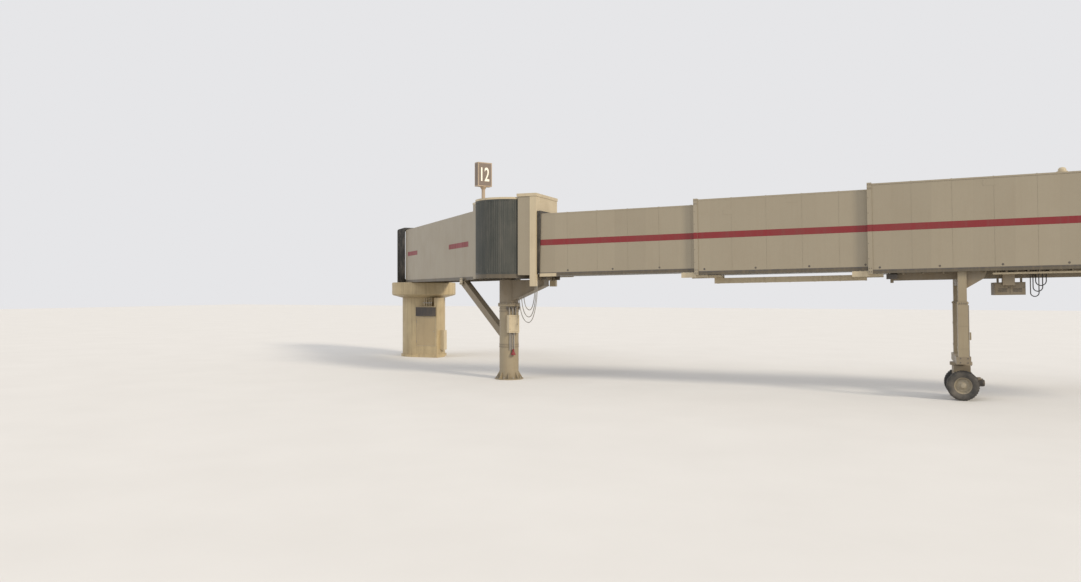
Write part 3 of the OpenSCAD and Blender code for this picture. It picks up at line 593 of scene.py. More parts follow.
class Stripes(JetBridgeStep):
    """Paint the stripe along both walls of the tunnels and the walkway"""

    bl_idname = "jetbridge.stripes"
    bl_label = "Stripes"
    film = 0.003
    walkway_rise = 0.13

    def strip(self, name, node, space, body, middle, spans=None):
        lo, hi = local_box(node, space)
        half = looks().stripe_height / 2
        bm = bmesh.new()
        for start, end in spans or [(0.0, hi.x - lo.x)]:
            add_pair(bm, (lo.x + start, lo.x + end), hi.y, hi.y + self.film, (middle - half, middle + half))
        make_piece(name, bm, space, "stripe_red", body)

    def build(self):
        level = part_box("swing_floor")[1].z + looks().stripe_rise
        for name, node in (("a", "a_walls"), ("b", "b_walls"), ("c", "c_walls"),
                           ("frame_b", "b_frame"), ("frame_c", "c_frame")):
            self.strip(f"stripe_{name}", f"tunnel_{node}", TUNNEL, f"tunnel_{node[0]}", level - HINGE.z)
        lo, hi = local_box("walkway_walls", WALKWAY)
        length = hi.x - lo.x
        self.strip("stripe_walkway", "walkway_walls", WALKWAY, "fixed", level + self.walkway_rise,
                   [(0.75, 3.75), (length - 2.6, length - 0.5)])


class Curtains(JetBridgeStep):
    """Slatted curtains of the rotunda and of the cab"""

    bl_idname = "jetbridge.curtains"
    bl_label = "Curtains"

    def build(self):
        for node, swing_first in (("curtain_near", False), ("curtain_far", True)):
            points = [v.co for v in frame["nodes"][node].data.vertices]
            lo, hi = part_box(node)
            start, end, radius = arc_of(points, ORIGIN)
            bm = bmesh.new()
            add_slats(bm, ORIGIN, start, end, radius, lo.z, hi.z)
            piece = make_piece(node + "_slats", bm, ROW, "slats", None, outward=True)
            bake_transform(piece)
            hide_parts(node)
        inverse = TUNNEL.inverted()
        points = [inverse @ v.co for v in frame["nodes"]["cab_curtains"].data.vertices]
        lo, hi = local_box("cab_curtains", TUNNEL)
        centre = max(points, key=lambda p: p.y).copy()
        centre.y = 0.0
        bm = bmesh.new()
        for side in (-1, 1):
            start, end, radius = arc_of([p for p in points if p.y * side > 0], centre)
            add_slats(bm, centre, start, end, radius, lo.z, hi.z)
        piece = make_piece("cab_slats", bm, TUNNEL, "slats", "tunnel_c", outward=True)
        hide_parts("cab_curtains")
        self.guides(centre, start, end, radius, (lo.z + 0.001, hi.z - 0.001))

    def guides(self, centre, start, end, radius, z):
        """Upright channels that the cab's curtains run in, at their far side's ends and mirrored."""
        bm = bmesh.new()
        for angle, half in ((end, 0.042), (start, 0.036)):
            x, y = centre.x + radius * math.cos(angle), radius * math.sin(angle)
            add_pair(bm, (x - half, x + half), y - 0.045, y + 0.003, z, 0.004)
        make_piece("cab_guides", bm, TUNNEL, "dark_steel", "tunnel_c")


class Bellows(JetBridgeStep):
    """Folded rubber round the terminal end, the hinge and the cab's front"""

    bl_idname = "jetbridge.bellows"
    bl_label = "Bellows"
    canopy_folds = 6
    hoop = 0.012
    # The hinge seal reaches onto tunnel A, closes on it, and is deeper at its top so that it clears the
    # portal when the tunnels tip up
    hinge_reach = 0.05
    hinge_lean = 0.06
    hinge_gap = 0.004

    def folded(self, name, node, space, folds, depth, radius=0.12, finish="seal_rubber", skin=0.008, reach=0.0,
               lip=None, lean=0.0):
        lo, hi = local_box(node, space)
        hi.x += reach
        bm = bmesh.new()
        add_bellows(bm, lo.x, hi.x, folds, hi.y, lo.z, hi.z, depth, skin, radius)
        if lip:
            outer = u_path(hi.y - depth, lo.z, hi.z - depth, radius)
            add_lip(bm, hi.x - skin, hi.x, outer, u_path(lip[0], lo.z, lip[1], radius))
        for vert in bm.verts:
            vert.co.x += lean * (vert.co.z - lo.z) / (hi.z - lo.z) * (vert.co.x - lo.x) / (hi.x - lo.x)
        piece = make_piece(name, bm, space, finish, None, smooth=True, outward=True)
        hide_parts(node)
        return piece, lo, hi

    def build(self):
        piece, lo, hi = self.folded("terminal_bellows", "terminal_seal", WALKWAY, 9, 0.11)
        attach(piece, "fixed")
        bm = bmesh.new()
        add_box(bm, (lo.x, lo.y + 0.15, lo.z + 0.02), (hi.x - 0.02, hi.y - 0.15, lo.z + 0.2), 0.01)
        make_piece("terminal_sill", bm, WALKWAY, "structure_paint", "fixed")
        folds, hoop = self.canopy_folds, self.hoop
        piece, lo, hi = self.folded("canopy_folds", "cab_canopy", TUNNEL, folds, 0.10, 0.3, "canopy_cloth")
        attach(piece, "tunnel_c")
        bm = bmesh.new()
        for i in range(folds):
            x = lo.x + (hi.x - lo.x) * (i + 0.5) / folds
            add_bellows(bm, x - hoop, x + hoop, 1, hi.y - hoop, lo.z, hi.z - hoop, 0.0, 2 * hoop, 0.29, 2)
        make_piece("canopy_hoops", bm, TUNNEL, "bare_metal", "tunnel_c", outward=True)
        roof = local_box("tunnel_a_roof", TUNNEL)[1]
        lip = (roof.y - self.hinge_gap, HINGE.z + roof.z - self.hinge_gap)
        piece, lo, hi = self.folded("hinge_bellows", "hinge_seal", ROW, 3, 0.018, 0.03, skin=0.006,
                                    reach=self.hinge_reach, lip=lip, lean=self.hinge_lean)
        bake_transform(piece)


class Wheels(JetBridgeStep):
    """Tyres with lugs, dished rims, hubs and wheel nuts"""

    bl_idname = "jetbridge.wheels"
    bl_label = "Wheels"
    width = 0.32
    nuts = 10
    # Profiles as shares of the wheel's radius and of half its width
    flank = [(0.54, 0.66), (0.60, 0.84), (0.72, 0.97), (0.84, 0.98), (0.93, 0.90), (0.968, 0.76), (0.974, 0.40)]
    disc = [
        (0.555, 0.72), (0.535, 0.74), (0.515, 0.66), (0.50, 0.30), (0.46, 0.16), (0.30, 0.22),
        (0.22, 0.36), (0.17, 0.52), (0.15, 0.66), (0.06, 0.70), (0.0001, 0.70),
    ]

    def build(self):
        lo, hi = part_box("wheels")
        radius, half, lugs = (hi.z - lo.z) / 2, self.width / 2, looks().tread_count
        profile = [(radius * r, half * a) for r, a in self.flank]
        tyres, rims = bmesh.new(), bmesh.new()
        for side in (-1, 1):
            at = Vector(((lo.x + hi.x) / 2, side * (hi.y - half), lo.z + radius))
            tyre, rim = bmesh.new(), bmesh.new()
            add_turned(tyre, profile + [(r, -a) for r, a in reversed(profile)], at, steps=64)
            join(tyres, tyre)
            for way in (1, -1):
                add_turned(rim, [(radius * r, way * half * a) for r, a in self.disc], ORIGIN)
            bmesh.ops.translate(rim, verts=rim.verts, vec=at)
            for i in range(self.nuts):
                turn = math.tau * i / self.nuts
                spot = at + Vector((math.cos(turn), 0, math.sin(turn))) * radius * 0.36
                add_bolt(rim, spot + Vector((0, side * half * 0.19, 0)), (0, side, 0), 0.017, 0.024)
            join(rims, rim)
            for i in range(lugs):
                for row in (-1, 1):
                    spin = Matrix.Rotation(math.tau * i / lugs + row * math.pi / lugs / 2, 4, "Y")
                    y0, y1 = sorted((row * 0.012, row * half * 0.86))
                    lug = bmesh.new()
                    add_box(lug, (-0.026, y0, radius * 0.955), (0.026, y1, radius * 0.9965), 0.004, 1)
                    join(tyres, lug, Matrix.Translation(at) @ spin)
        piece = make_piece("tyres", tyres, ROW, "tyre_rubber", "lift", outward=True)
        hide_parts("wheels")
        make_piece("rims", rims, ROW, "rim_paint", "lift", outward=True)


class HangingCables(JetBridgeStep):
    """Cable loops beside the column and below the outer tunnel"""

    bl_idname = "jetbridge.hanging_cables"
    bl_label = "Hanging Cables"
    thickness = 0.032
    # Where the loops leave the bracket's foot and end below its outer beam, and how far they hang
    anchor, anchor_step = Vector((0.62, -0.334, 3.43)), Vector((0.10, 0.0, 0.044))
    head, head_step = Vector((1.655, -0.88, 4.112)), Vector((0.05, 0.0, 0.0))
    sags = (1.04, 0.86, 0.62)
    drops = (0.74, 0.56, 0.36)

    def build(self):
        for i, sag in enumerate(self.sags):
            path = sagging(self.anchor + i * self.anchor_step, self.head - i * self.head_step, sag)
            make_cord(f"column_cable_{i + 1}", path, self.thickness, ROW, "swing", "cable_grey")
        floor, boxes = local_box("tunnel_c_floor", TUNNEL)[0], local_box("equipment_boxes", TUNNEL)[1]
        for i, drop in enumerate(self.drops):
            at = Vector((boxes.x + 0.24 + 0.10 * i, floor.y + 0.42 + 0.07 * i, floor.z + 0.004))
            make_cord(f"loop_cable_{i + 1}", u_loop(at, drop, 0.12 + 0.015 * i), self.thickness, TUNNEL, "tunnel_c")


class CabFront(JetBridgeStep):
    """Rubber bumper along the front edge of the cab's floor"""

    bl_idname = "jetbridge.cab_front"
    bl_label = "Cab Front"
    sections = 5
    gap = 0.004

    def build(self):
        lo, hi = local_box("cab_bumper", TUNNEL)
        radius, middle = (hi.z - lo.z) / 2, (hi.z + lo.z) / 2
        step = (hi.y - lo.y) / self.sections
        bumper, plates = bmesh.new(), bmesh.new()
        for i in range(self.sections):
            start, end = lo.y + i * step + self.gap, lo.y + (i + 1) * step - self.gap
            part = bmesh.new()
            add_rod(part, (lo.x, start, middle), (lo.x, end, middle), radius * 0.985, 48)
            everything = part.verts[:] + part.edges[:] + part.faces[:]
            bmesh.ops.bisect_plane(part, geom=everything, plane_co=(lo.x + 0.01, 0, 0), plane_no=(1, 0, 0),
                                   clear_inner=True)
            bmesh.ops.holes_fill(part, edges=[e for e in part.edges if e.is_boundary], sides=0)
            sharp = [e for e in part.edges if len(e.link_faces) == 2 and e.calc_face_angle(0.0) > 1.0]
            bmesh.ops.bevel(part, geom=sharp, offset=0.012, segments=3, affect="EDGES", profile=0.5, material=-1)
            join(bumper, part)
            add_box(plates, (lo.x, start, lo.z + 0.002), (lo.x + 0.0095, end, hi.z - 0.002), 0.002, 1)
        piece = make_piece("floor_bumper", bumper, TUNNEL, "seal_rubber", "tunnel_c", outward=True)
        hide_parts("cab_bumper")
        make_piece("bumper_plates", plates, TUNNEL, "structure_paint", "tunnel_c")


class LiftFittings(JetBridgeStep):
    """Bands, bolts and conduits on the lift columns, and fins and covers on the motors"""

    bl_idname = "jetbridge.lift_fittings"
    bl_label = "Lift Fittings"
    collar = 0.015
    band = 0.008
    band_half = 0.04

    def build(self):
        lo, hi = local_box("lift_legs", TUNNEL)
        tubes = local_box("lift_tubes", TUNNEL)
        x = (tubes[0].x + tubes[1].x) / 2
        half = (hi.x - lo.x) / 2 - self.collar
        middle, face = hi.y - half - self.collar, half + self.collar
        bands, bolts = bmesh.new(), bmesh.new()
        for side in (-1, 1):
            y = side * middle
            for z in (lo.z + 0.30, lo.z + 1.05):
                for way in (-1, 1):
                    off, thin = way * (half + self.band / 2), self.band / 2
                    for centre, size in (((x + off, y, z), (thin, half + self.band, self.band_half)),
                                         ((x, y + off, z), (half, thin, self.band_half))):
                        centre, size = Vector(centre), Vector(size)
                        add_box(bands, centre - size, centre + size, 0.002, 1)
            for along in (-0.10, -0.035, 0.035, 0.10):
                for way in (-1, 1):
                    z = hi.z - 0.05
                    add_bolt(bolts, (x + along, y + way * face, z), (0, way, 0), 0.012, 0.010)
                    add_bolt(bolts, (x + way * face, y + along, z), (way, 0, 0), 0.012, 0.010)
            add_box(bands, (x + half, y - 0.07, lo.z + 0.55), (x + half + 0.09, y + 0.07, lo.z + 0.80), 0.008)
        # The bands wear the lighter column paint, which is painted light
        make_piece("lift_bands", bands, TUNNEL, "lit_column_paint", "lift")
        make_piece("collar_bolts", bolts, TUNNEL, "dark_steel", "lift")
        levels = (lo.z + 0.02, lo.z + 0.5, lo.z + 1.0, hi.z - 0.12)
        runs = [[(x + half + 0.022, y - middle, z) for z in levels] for y in (0.10, -0.10)]
        make_cable("leg_conduit", runs, 0.014, TUNNEL, "bare_metal", "lift", 3)
        self.motors()

    def motors(self):
        lo, hi = local_box("wheel_motors", TUNNEL)
        fins, covers = bmesh.new(), bmesh.new()
        z = (lo.z + hi.z) / 2
        for side in (-1, 1):
            y = side * (hi.y + 0.02) / 2
            for i in range(8):
                x = hi.x - 0.25 + i * 0.028
                add_rod(fins, (x, y, z), (x + 0.010, y, z), 0.121, 32)
            add_rod(covers, (hi.x - 0.022, y, z), (hi.x + 0.010, y, z), 0.100, 32, 0.085)
            add_box(covers, (hi.x - 0.20, y - 0.05, z + 0.09), (hi.x - 0.07, y + 0.05, z + 0.155), 0.008)
        make_piece("motor_fins", fins, TUNNEL, "dark_steel", "lift")
        make_piece("motor_covers", covers, TUNNEL, "structure_paint", "lift")


class EquipmentDoors(JetBridgeStep):
    """Doors, louvres and latches on the boxes below the outer tunnel, and bands on the cable trough"""

    bl_idname = "jetbridge.equipment_doors"
    bl_label = "Equipment Doors"
    door_height = 0.42
    front = -0.72
    trough_sides = (-0.52, -0.26)
    band = 0.006
    band_pitch = 0.86

    def build(self):
        lo, hi = local_box("equipment_boxes", TUNNEL)
        top, front, middle = lo.z + self.door_height, self.front, (lo.x + hi.x) / 2
        doors, iron = bmesh.new(), bmesh.new()
        for a, b in ((lo.x + 0.025, middle - 0.008), (middle + 0.008, hi.x - 0.025)):
            add_box(doors, (a, front - 0.010, lo.z + 0.03), (b, front + 0.001, top - 0.03), 0.004)
            for k in range(6):
                z = lo.z + 0.10 + k * 0.022
                add_box(iron, (a + 0.08, front - 0.016, z), (b - 0.08, front - 0.008, z + 0.009), 0.002, 1)
            latch = Vector((b - 0.035, front - 0.028, lo.z + 0.24))
            add_rod(iron, latch, latch + Vector((0, 0.02, 0)), 0.014, 16)
        for x in (lo.x - 0.008, hi.x):
            add_box(doors, (x, front + 0.06, lo.z + 0.04), (x + 0.008, 0.20, top - 0.04), 0.003)
        make_piece("equipment_doors", doors, TUNNEL, "structure_paint", "tunnel_c")
        make_piece("equipment_iron", iron, TUNNEL, "dark_steel", "tunnel_c")
        self.trough()
        self.small_box()

    def trough(self):
        """Bands round the trough that hangs below the middle tunnel."""
        lo, hi = local_box("tunnel_b_rollers", TUNNEL)
        y0, y1 = self.trough_sides
        bands = bmesh.new()
        x = hi.x - 5.2
        while x < hi.x:
            for y in (y0 - self.band, y1):
                add_box(bands, (x, y, lo.z + 0.002), (x + 0.05, y + self.band, lo.z + 0.195), 0.0015, 1)
            add_box(bands, (x, y0 - self.band, lo.z - self.band), (x + 0.05, y1 + self.band, lo.z), 0.0015, 1)
            x += self.band_pitch
        make_piece("trough_bands", bands, TUNNEL, "trim_paint", "tunnel_b")

    def small_box(self):
        """A switch box below the outer tunnel, near its end frame."""
        floor = local_box("tunnel_c_floor", TUNNEL)[0]
        bm = bmesh.new()
        x, y, z = floor.x + 0.42, floor.y + 0.36, floor.z
        add_box(bm, (x, y, z - 0.20), (x + 0.36, y + 0.24, z - 0.03), 0.010)
        for dx in (0.05, 0.29):
            add_box(bm, (x + dx, y + 0.05, z - 0.04), (x + dx + 0.03, y + 0.19, z + 0.001), 0.003)
        make_piece("switch_box", bm, TUNNEL, "dark_steel", "tunnel_c")


class Fasteners(JetBridgeStep):
    """Bolts along the walls, on end frames, base plate, flanges and bogie"""

    bl_idname = "jetbridge.fasteners"
    bl_label = "Fasteners"
    first_bolt = {"a": 1.23, "b": 0.22, "c": 0.22}
    plate = 0.008
    base_circle, base_plate = 0.51, 0.04
    # Stud, washer and two nuts: heights above the base plate, radius and sides
    anchor = (
        (-0.039, 0.075, 0.0145, 16), (0.0, 0.005, 0.034, 20), (0.005, 0.029, 0.026, 6), (0.031, 0.055, 0.026, 6),
    )
    flange_circle, flange_z, flange_t = 0.43, 3.10, 0.06
    bogie_circle, bogie_ring_z = 0.315, 1.15

    def build(self):
        pitch = looks().panel_pitch * 1.5
        for letter, first in self.first_bolt.items():
            lo, hi = local_box(f"tunnel_{letter}_walls", TUNNEL)
            places = [lo.x + first + i * pitch for i in range(int((hi.x - lo.x - 1.1) / pitch) + 1)]
            bm = bmesh.new()
            add_bolts(bm, places, hi.y, [lo.z + 0.07], 0.026, 0.003)
            make_piece(f"wall_bolts_{letter}", bm, TUNNEL, "dark_steel", f"tunnel_{letter}")
        for letter in "bc":
            self.end_frame(letter)
        self.column()
        self.bogie()

    def end_frame(self, letter):
        """Bolted corner plates and bolts up the end frame of a tunnel."""
        lo, hi = local_box(f"tunnel_{letter}_frame", TUNNEL)
        plates, bolts = bmesh.new(), bmesh.new()
        for z in (lo.z + 0.13, hi.z - 0.13):
            add_pair(plates, (lo.x + 0.004, hi.x - 0.004), hi.y, hi.y + self.plate, (z - 0.09, z + 0.09), 0.003)
            add_bolts(bolts, (lo.x + 0.04, hi.x - 0.04), hi.y + self.plate, (z - 0.055, z + 0.055), 0.01, 0.008)
        add_bolts(bolts, [lo.x + 0.03], hi.y, [lo.z + (hi.z - lo.z) * k / 6 for k in range(1, 6)], 0.008, 0.006)
        make_piece(f"frame_plates_{letter}", plates, TUNNEL, "wall_panels", f"tunnel_{letter}")
        make_piece(f"frame_bolts_{letter}", bolts, TUNNEL, "dark_steel", f"tunnel_{letter}")

    def column(self):
        """Anchors of the base plate, and bolts below and above the turning flange."""
        fixed, swing = bmesh.new(), bmesh.new()
        for foot in ring(8, self.base_circle, self.base_plate):
            for low, high, radius, sides in self.anchor:
                add_rod(fixed, foot + low * UP, foot + high * UP, radius, sides)
        for spot in ring(16, self.flange_circle, self.flange_z, 0.5):
            add_bolt(fixed, spot - self.flange_t * UP, -UP, 0.014, 0.014)
            add_bolt(swing, spot + self.flange_t * UP, UP, 0.014, 0.014)
        make_piece("column_bolts", fixed, ROW, "bare_metal", "fixed")
        make_piece("sleeve_bolts", swing, ROW, "bare_metal", "swing")

    def bogie(self):
        """Bolts round the turning ring above the wheels and on the outer faces of the frame."""
        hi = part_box("bogie_frame")[1]
        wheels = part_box("wheels")
        middle = Vector(((wheels[0].x + wheels[1].x) / 2, 0, 0))
        bm = bmesh.new()
        for spot in ring(14, self.bogie_circle, self.bogie_ring_z):
            add_bolt(bm, middle + spot, -UP, 0.012, 0.014)
        add_bolts(bm, (middle.x - 0.11, middle.x + 0.11), hi.y, (hi.z - 0.20, hi.z - 0.06), 0.014, 0.012)
        make_piece("bogie_bolts", bm, ROW, "dark_steel", "lift")


class GateSign(JetBridgeStep):
    """Plain digits on the sign over the rotunda"""

    bl_idname = "jetbridge.gate_sign"
    bl_label = "Gate Sign"
    number = "12"
    turn = math.radians(55)
    half = 0.29
    digit_size = 0.52
    digit_shape = (0.95, 1.55, 1.0, 1.0)

    def build(self):
        lo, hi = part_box("gate_sign")
        middle = (lo + hi) / 2
        space = Matrix.Translation((middle.x, middle.y, 0)) @ Matrix.Rotation(self.turn, 4, "Z")
        lo, hi = local_box("gate_sign", space)
        low, high = hi.z - 0.96, hi.z - 0.04
        plate = bmesh.new()
        add_box(plate, (-self.half, lo.y - 0.006, low), (self.half, lo.y + 0.002, high), 0.003)
        add_box(plate, (-self.half, hi.y - 0.001, low), (self.half, hi.y + 0.004, high), 0.001, 1)
        for side in (-1, 1):
            x0, x1 = sorted((side * (hi.x - 0.001), side * (hi.x + 0.004)))
            add_box(plate, (x0, lo.y + 0.04, low), (x1, hi.y - 0.04, high), 0.001, 1)
        make_piece("sign_plate", plate, space, "sign_face", "fixed")
        text = bpy.data.curves.new("digits", "FONT")
        text.body = self.number
        text.size = self.digit_size
        text.offset = 0.006
        text.extrude = 0.004
        bm = mesh_of(text)
        xs, ys = [v.co.x for v in bm.verts], [v.co.y for v in bm.verts]
        centred = Matrix.Translation((-(min(xs) + max(xs)) / 2, -(min(ys) + max(ys)) / 2, 0))
        upright = Matrix.Rotation(math.radians(90), 4, "X")
        place = Matrix.Translation((0, lo.y - 0.009, (low + high) / 2))
        shape = Matrix.Diagonal(self.digit_shape)
        bmesh.ops.transform(bm, matrix=place @ upright @ shape @ centred, verts=bm.verts)
        make_piece("sign_digits", bm, space, "pale_digits", "fixed")


class ColumnFittings(JetBridgeStep):
    """Junction box door, bands, conduits and clamps of the column, and a red beacon"""

    bl_idname = "jetbridge.column_fittings"
    bl_label = "Column Fittings"
    radius = 0.4
    foot = 1.33
    beacon = [(0.0001, 0.0), (0.10, 0.0), (0.095, 0.035), (0.045, 0.14), (0.035, 0.24), (0.0001, 0.24)]
    clamp_turns = (-75, -52, -30, 18, 45)

    def build(self):
        radius, foot = self.radius, self.foot
        space = Matrix.Rotation(heading("junction_box"), 4, "Z")
        lo, hi = local_box("junction_box", space)
        door, iron = bmesh.new(), bmesh.new()
        add_box(door, (hi.x - 0.014, lo.y + 0.045, lo.z + 0.055), (hi.x - 0.002, hi.y - 0.045, hi.z - 0.055), 0.004)
        for z in (lo.z + 0.14, hi.z - 0.14):
            add_rod(iron, (hi.x - 0.002, lo.y + 0.05, z - 0.035), (hi.x - 0.002, lo.y + 0.05, z + 0.035), 0.008, 10)
        lock = Vector((hi.x, hi.y - 0.085, (lo.z + hi.z) / 2))
        add_rod(iron, lock - Vector((0.004, 0, 0)), lock + Vector((0.012, 0, 0)), 0.016, 16)
        add_box(iron, lock + Vector((0.004, -0.007, -0.05)), lock + Vector((0.014, 0.007, 0.01)), 0.003)
        make_piece("junction_door", door, space, "trim_paint", "fixed")
        for low, high in ((foot, foot + 0.05), (foot + 0.10, foot + 0.14), (2.80, 2.86), (2.92, 2.95)):
            add_arc_wall(iron, ORIGIN, 0.0, math.tau, 64, low, high, lambda i: radius + 0.012, 0.014)
        make_piece("column_bands", iron, space, "structure_paint", "fixed")
        x = radius + 0.035
        runs = [[(x, y, z) for z in (lo.z + 0.01, 1.75, 1.55, foot - 0.10)] for y in (-0.12, -0.04, 0.05)]
        runs += [[(x, y, z) for z in (hi.z - 0.01, 2.76, 2.88, 2.985)] for y in (-0.15, 0.0, 0.13)]
        make_cable("column_conduits", runs, 0.02, space, "bare_metal", "fixed", 4)
        bell = bmesh.new()
        add_turned(bell, self.beacon, Vector((0.50, 0.0, foot - 0.30)), "Z", 24)
        make_piece("column_beacon", bell, space, "stripe_red", "fixed", outward=True)
        clamps = bmesh.new()
        for i, turn in enumerate(self.clamp_turns):
            clamp = bmesh.new()
            add_box(clamp, (radius - 0.002, -0.05, 2.95), (radius + 0.055 + 0.012 * (i % 2), 0.05, 3.028), 0.006)
            add_box(clamp, (radius + 0.03, -0.03, 2.88), (radius + 0.045, 0.03, 2.96), 0.003)
            join(clamps, clamp, Matrix.Rotation(math.radians(turn), 4, "Z"))
        make_piece("column_clamps", clamps, ROW, "dark_steel", "fixed")


class WalkwayFittings(JetBridgeStep):
    """Bolted plates at the struts' heads, and end trims and corner posts of the walkway"""

    bl_idname = "jetbridge.walkway_fittings"
    bl_label = "Walkway Fittings"

    def build(self):
        struts = local_box("column_struts", WALKWAY)[1]
        x, face, z = struts.x - 0.16, struts.y, local_box("walkway_floor", WALKWAY)[0].z
        plates, bolts, trims = bmesh.new(), bmesh.new(), bmesh.new()
        add_pair(plates, (x - 0.24, x + 0.14), face - 0.002, face + 0.022, (z - 0.20, z + 0.10), 0.006)
        add_pair(plates, (x - 0.24, x + 0.14), face - 0.20, face + 0.022, (z - 0.075, z - 0.058), 0.003)
        add_bolts(bolts, (x - 0.19, x - 0.05, x + 0.09), face + 0.022, (z - 0.15, z + 0.05), 0.016, 0.014)
        lo, hi = local_box("walkway_walls", WALKWAY)
        for x in (lo.x, hi.x - 0.09):
            add_pair(trims, (x, x + 0.09), hi.y - 0.001, hi.y + 0.010, (lo.z + 0.01, hi.z - 0.01), 0.003)
        make_piece("strut_heads", plates, WALKWAY, "trim_paint", "fixed")
        make_piece("strut_bolts", bolts, WALKWAY, "dark_steel", "fixed")
        make_piece("walkway_trims", trims, WALKWAY, "wall_panels", "fixed")


class PierFittings(JetBridgeStep):
    """Sign plate, conduits, notice panel and a small service box on the pier's cabinet"""

    bl_idname = "jetbridge.pier_fittings"
    bl_label = "Pier Fittings"
    sign_height = 0.5
    sign_frame = 0.03
    conduits = 7
    reveal = 0.085

    def build(self):
        lo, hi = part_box("pier_door")
        face = lo.y - 0.02
        panel = bmesh.new()
        add_box(panel, (lo.x + 0.03, lo.y - 0.006, lo.z + 0.03), (hi.x - 0.03, lo.y + 0.001, hi.z - 0.03), 0.003)
        make_piece("notice_panel", panel, ROW, "notice_paint", "fixed")
        self.sign(lo.x, hi.x + 0.03, face, hi.z + 0.05)
        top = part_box("pier_cap")[0].z + 0.01
        runs = []
        for i in range(self.conduits):
            x, y = lo.x + 0.03 + i * 0.14, face + 0.16 + 0.02 * (i % 2)
            runs.append([(x, y, z) for z in (2.80, 2.95, 3.10, top)])
        make_cable("pier_conduits", runs, 0.028, ROW, "trim_paint", "fixed", 2)
        iron = bmesh.new()
        add_box(iron, (lo.x - 0.02, face + 0.13, 3.0), (lo.x + 0.93, face + 0.215, 3.03), 0.004)
        for z in (lo.z + 0.25, hi.z - 0.25):
            hinge = Vector((lo.x + 0.01, lo.y - 0.004, z))
            add_rod(iron, hinge - 0.06 * UP, hinge + 0.06 * UP, 0.012, 12)
        lock = Vector((hi.x - 0.09, lo.y, 1.45))
        add_rod(iron, lock, lock - Vector((0, 0.03, 0)), 0.022, 20)
        make_piece("pier_ironwork", iron, ROW, "bare_metal", "fixed")
        box, side = bmesh.new(), hi.x + self.reveal
        add_box(box, (side - 0.004, face + 0.36, 0.42), (side + 0.26, face + 0.68, 1.5), 0.012)
        add_box(box, (side + 0.25, face + 0.385, 0.46), (side + 0.264, face + 0.655, 1.46), 0.004)
        make_piece("service_box", box, ROW, "trim_paint", "fixed")

    def sign(self, x0, x1, face, low):
        """A blank dark plate in a frame above the notice panel."""
        high, rim = low + self.sign_height, self.sign_frame
        edges, plate = bmesh.new(), bmesh.new()
        add_box(plate, (x0, face - 0.035, low), (x1, face + 0.004, high), 0.006)
        for a, b, bottom, top in ((x0, x1, low, low + rim), (x0, x1, high - rim, high),
                                  (x0, x0 + rim, low, high), (x1 - rim, x1, low, high)):
            add_box(edges, (a, face - 0.046, bottom), (b, face - 0.03, top), 0.004)
        make_piece("pier_sign", plate, ROW, "sign_dark", "fixed")
        make_piece("pier_sign_frame", edges, ROW, "dark_steel", "fixed")


class Underside(JetBridgeStep):
    """Ribs, a cable tray and its cables under the outer tunnel"""

    bl_idname = "jetbridge.underside"
    bl_label = "Underside"
    # The underframe's beams and the lift, which the ribs leave free
    beam_inner, beam_outer, lift_half = 0.548, 0.652, 0.45

    def build(self):
        lo, hi = local_box("tunnel_c_underframe", TUNNEL)
        floor, tubes = local_box("tunnel_c_floor", TUNNEL), local_box("lift_tubes", TUNNEL)
        under, edge, lift_x = floor[0].z, floor[1].y, (tubes[0].x + tubes[1].x) / 2
        pitch = looks().panel_pitch / 2
        ribs = bmesh.new()
        x = lo.x + 0.4
        while x < hi.x - 0.2:
            spans = [(-0.2, self.beam_inner)]
            if abs(x - lift_x) > self.lift_half:
                spans += [(0.09 - edge, -self.beam_outer), (self.beam_outer, edge - 0.09)]
            for y0, y1 in spans:
                add_box(ribs, (x - 0.03, y0, under - 0.05), (x + 0.03, y1, under + 0.002), 0.006, 1)
            x += pitch
        make_piece("floor_ribs", ribs, TUNNEL, "structure_paint", "tunnel_c")
        self.tray(lift_x + 0.9, hi.x - 0.1, 0.22 - edge, under, pitch)

    def tray(self, start, end, y, under, pitch):
        """A hung tray beside the lift with three cables in it."""
        bm = bmesh.new()
        for dy in (-0.09, 0.09):
            add_box(bm, (start, y + dy - 0.006, under - 0.12), (end, y + dy + 0.006, under - 0.06), 0.002, 1)
        add_box(bm, (start, y - 0.09, under - 0.122), (end, y + 0.09, under - 0.114), 0.002, 1)
        x = start + 0.1
        while x < end:
            for dy in (-0.07, 0.07):
                add_rod(bm, (x, y + dy, under - 0.116), (x, y + dy, under + 0.001), 0.008, 8)
            x += pitch
        make_piece("cable_tray", bm, TUNNEL, "trim_paint", "tunnel_c")
        runs = [[(x, y + dy, under - 0.096) for x in (start + 0.02, (start + end) / 2, end - 0.02)]
                for dy in (-0.045, 0.0, 0.045)]
        make_cable("tray_cables", runs, 0.018, TUNNEL, "cable_black", "tunnel_c", 3)


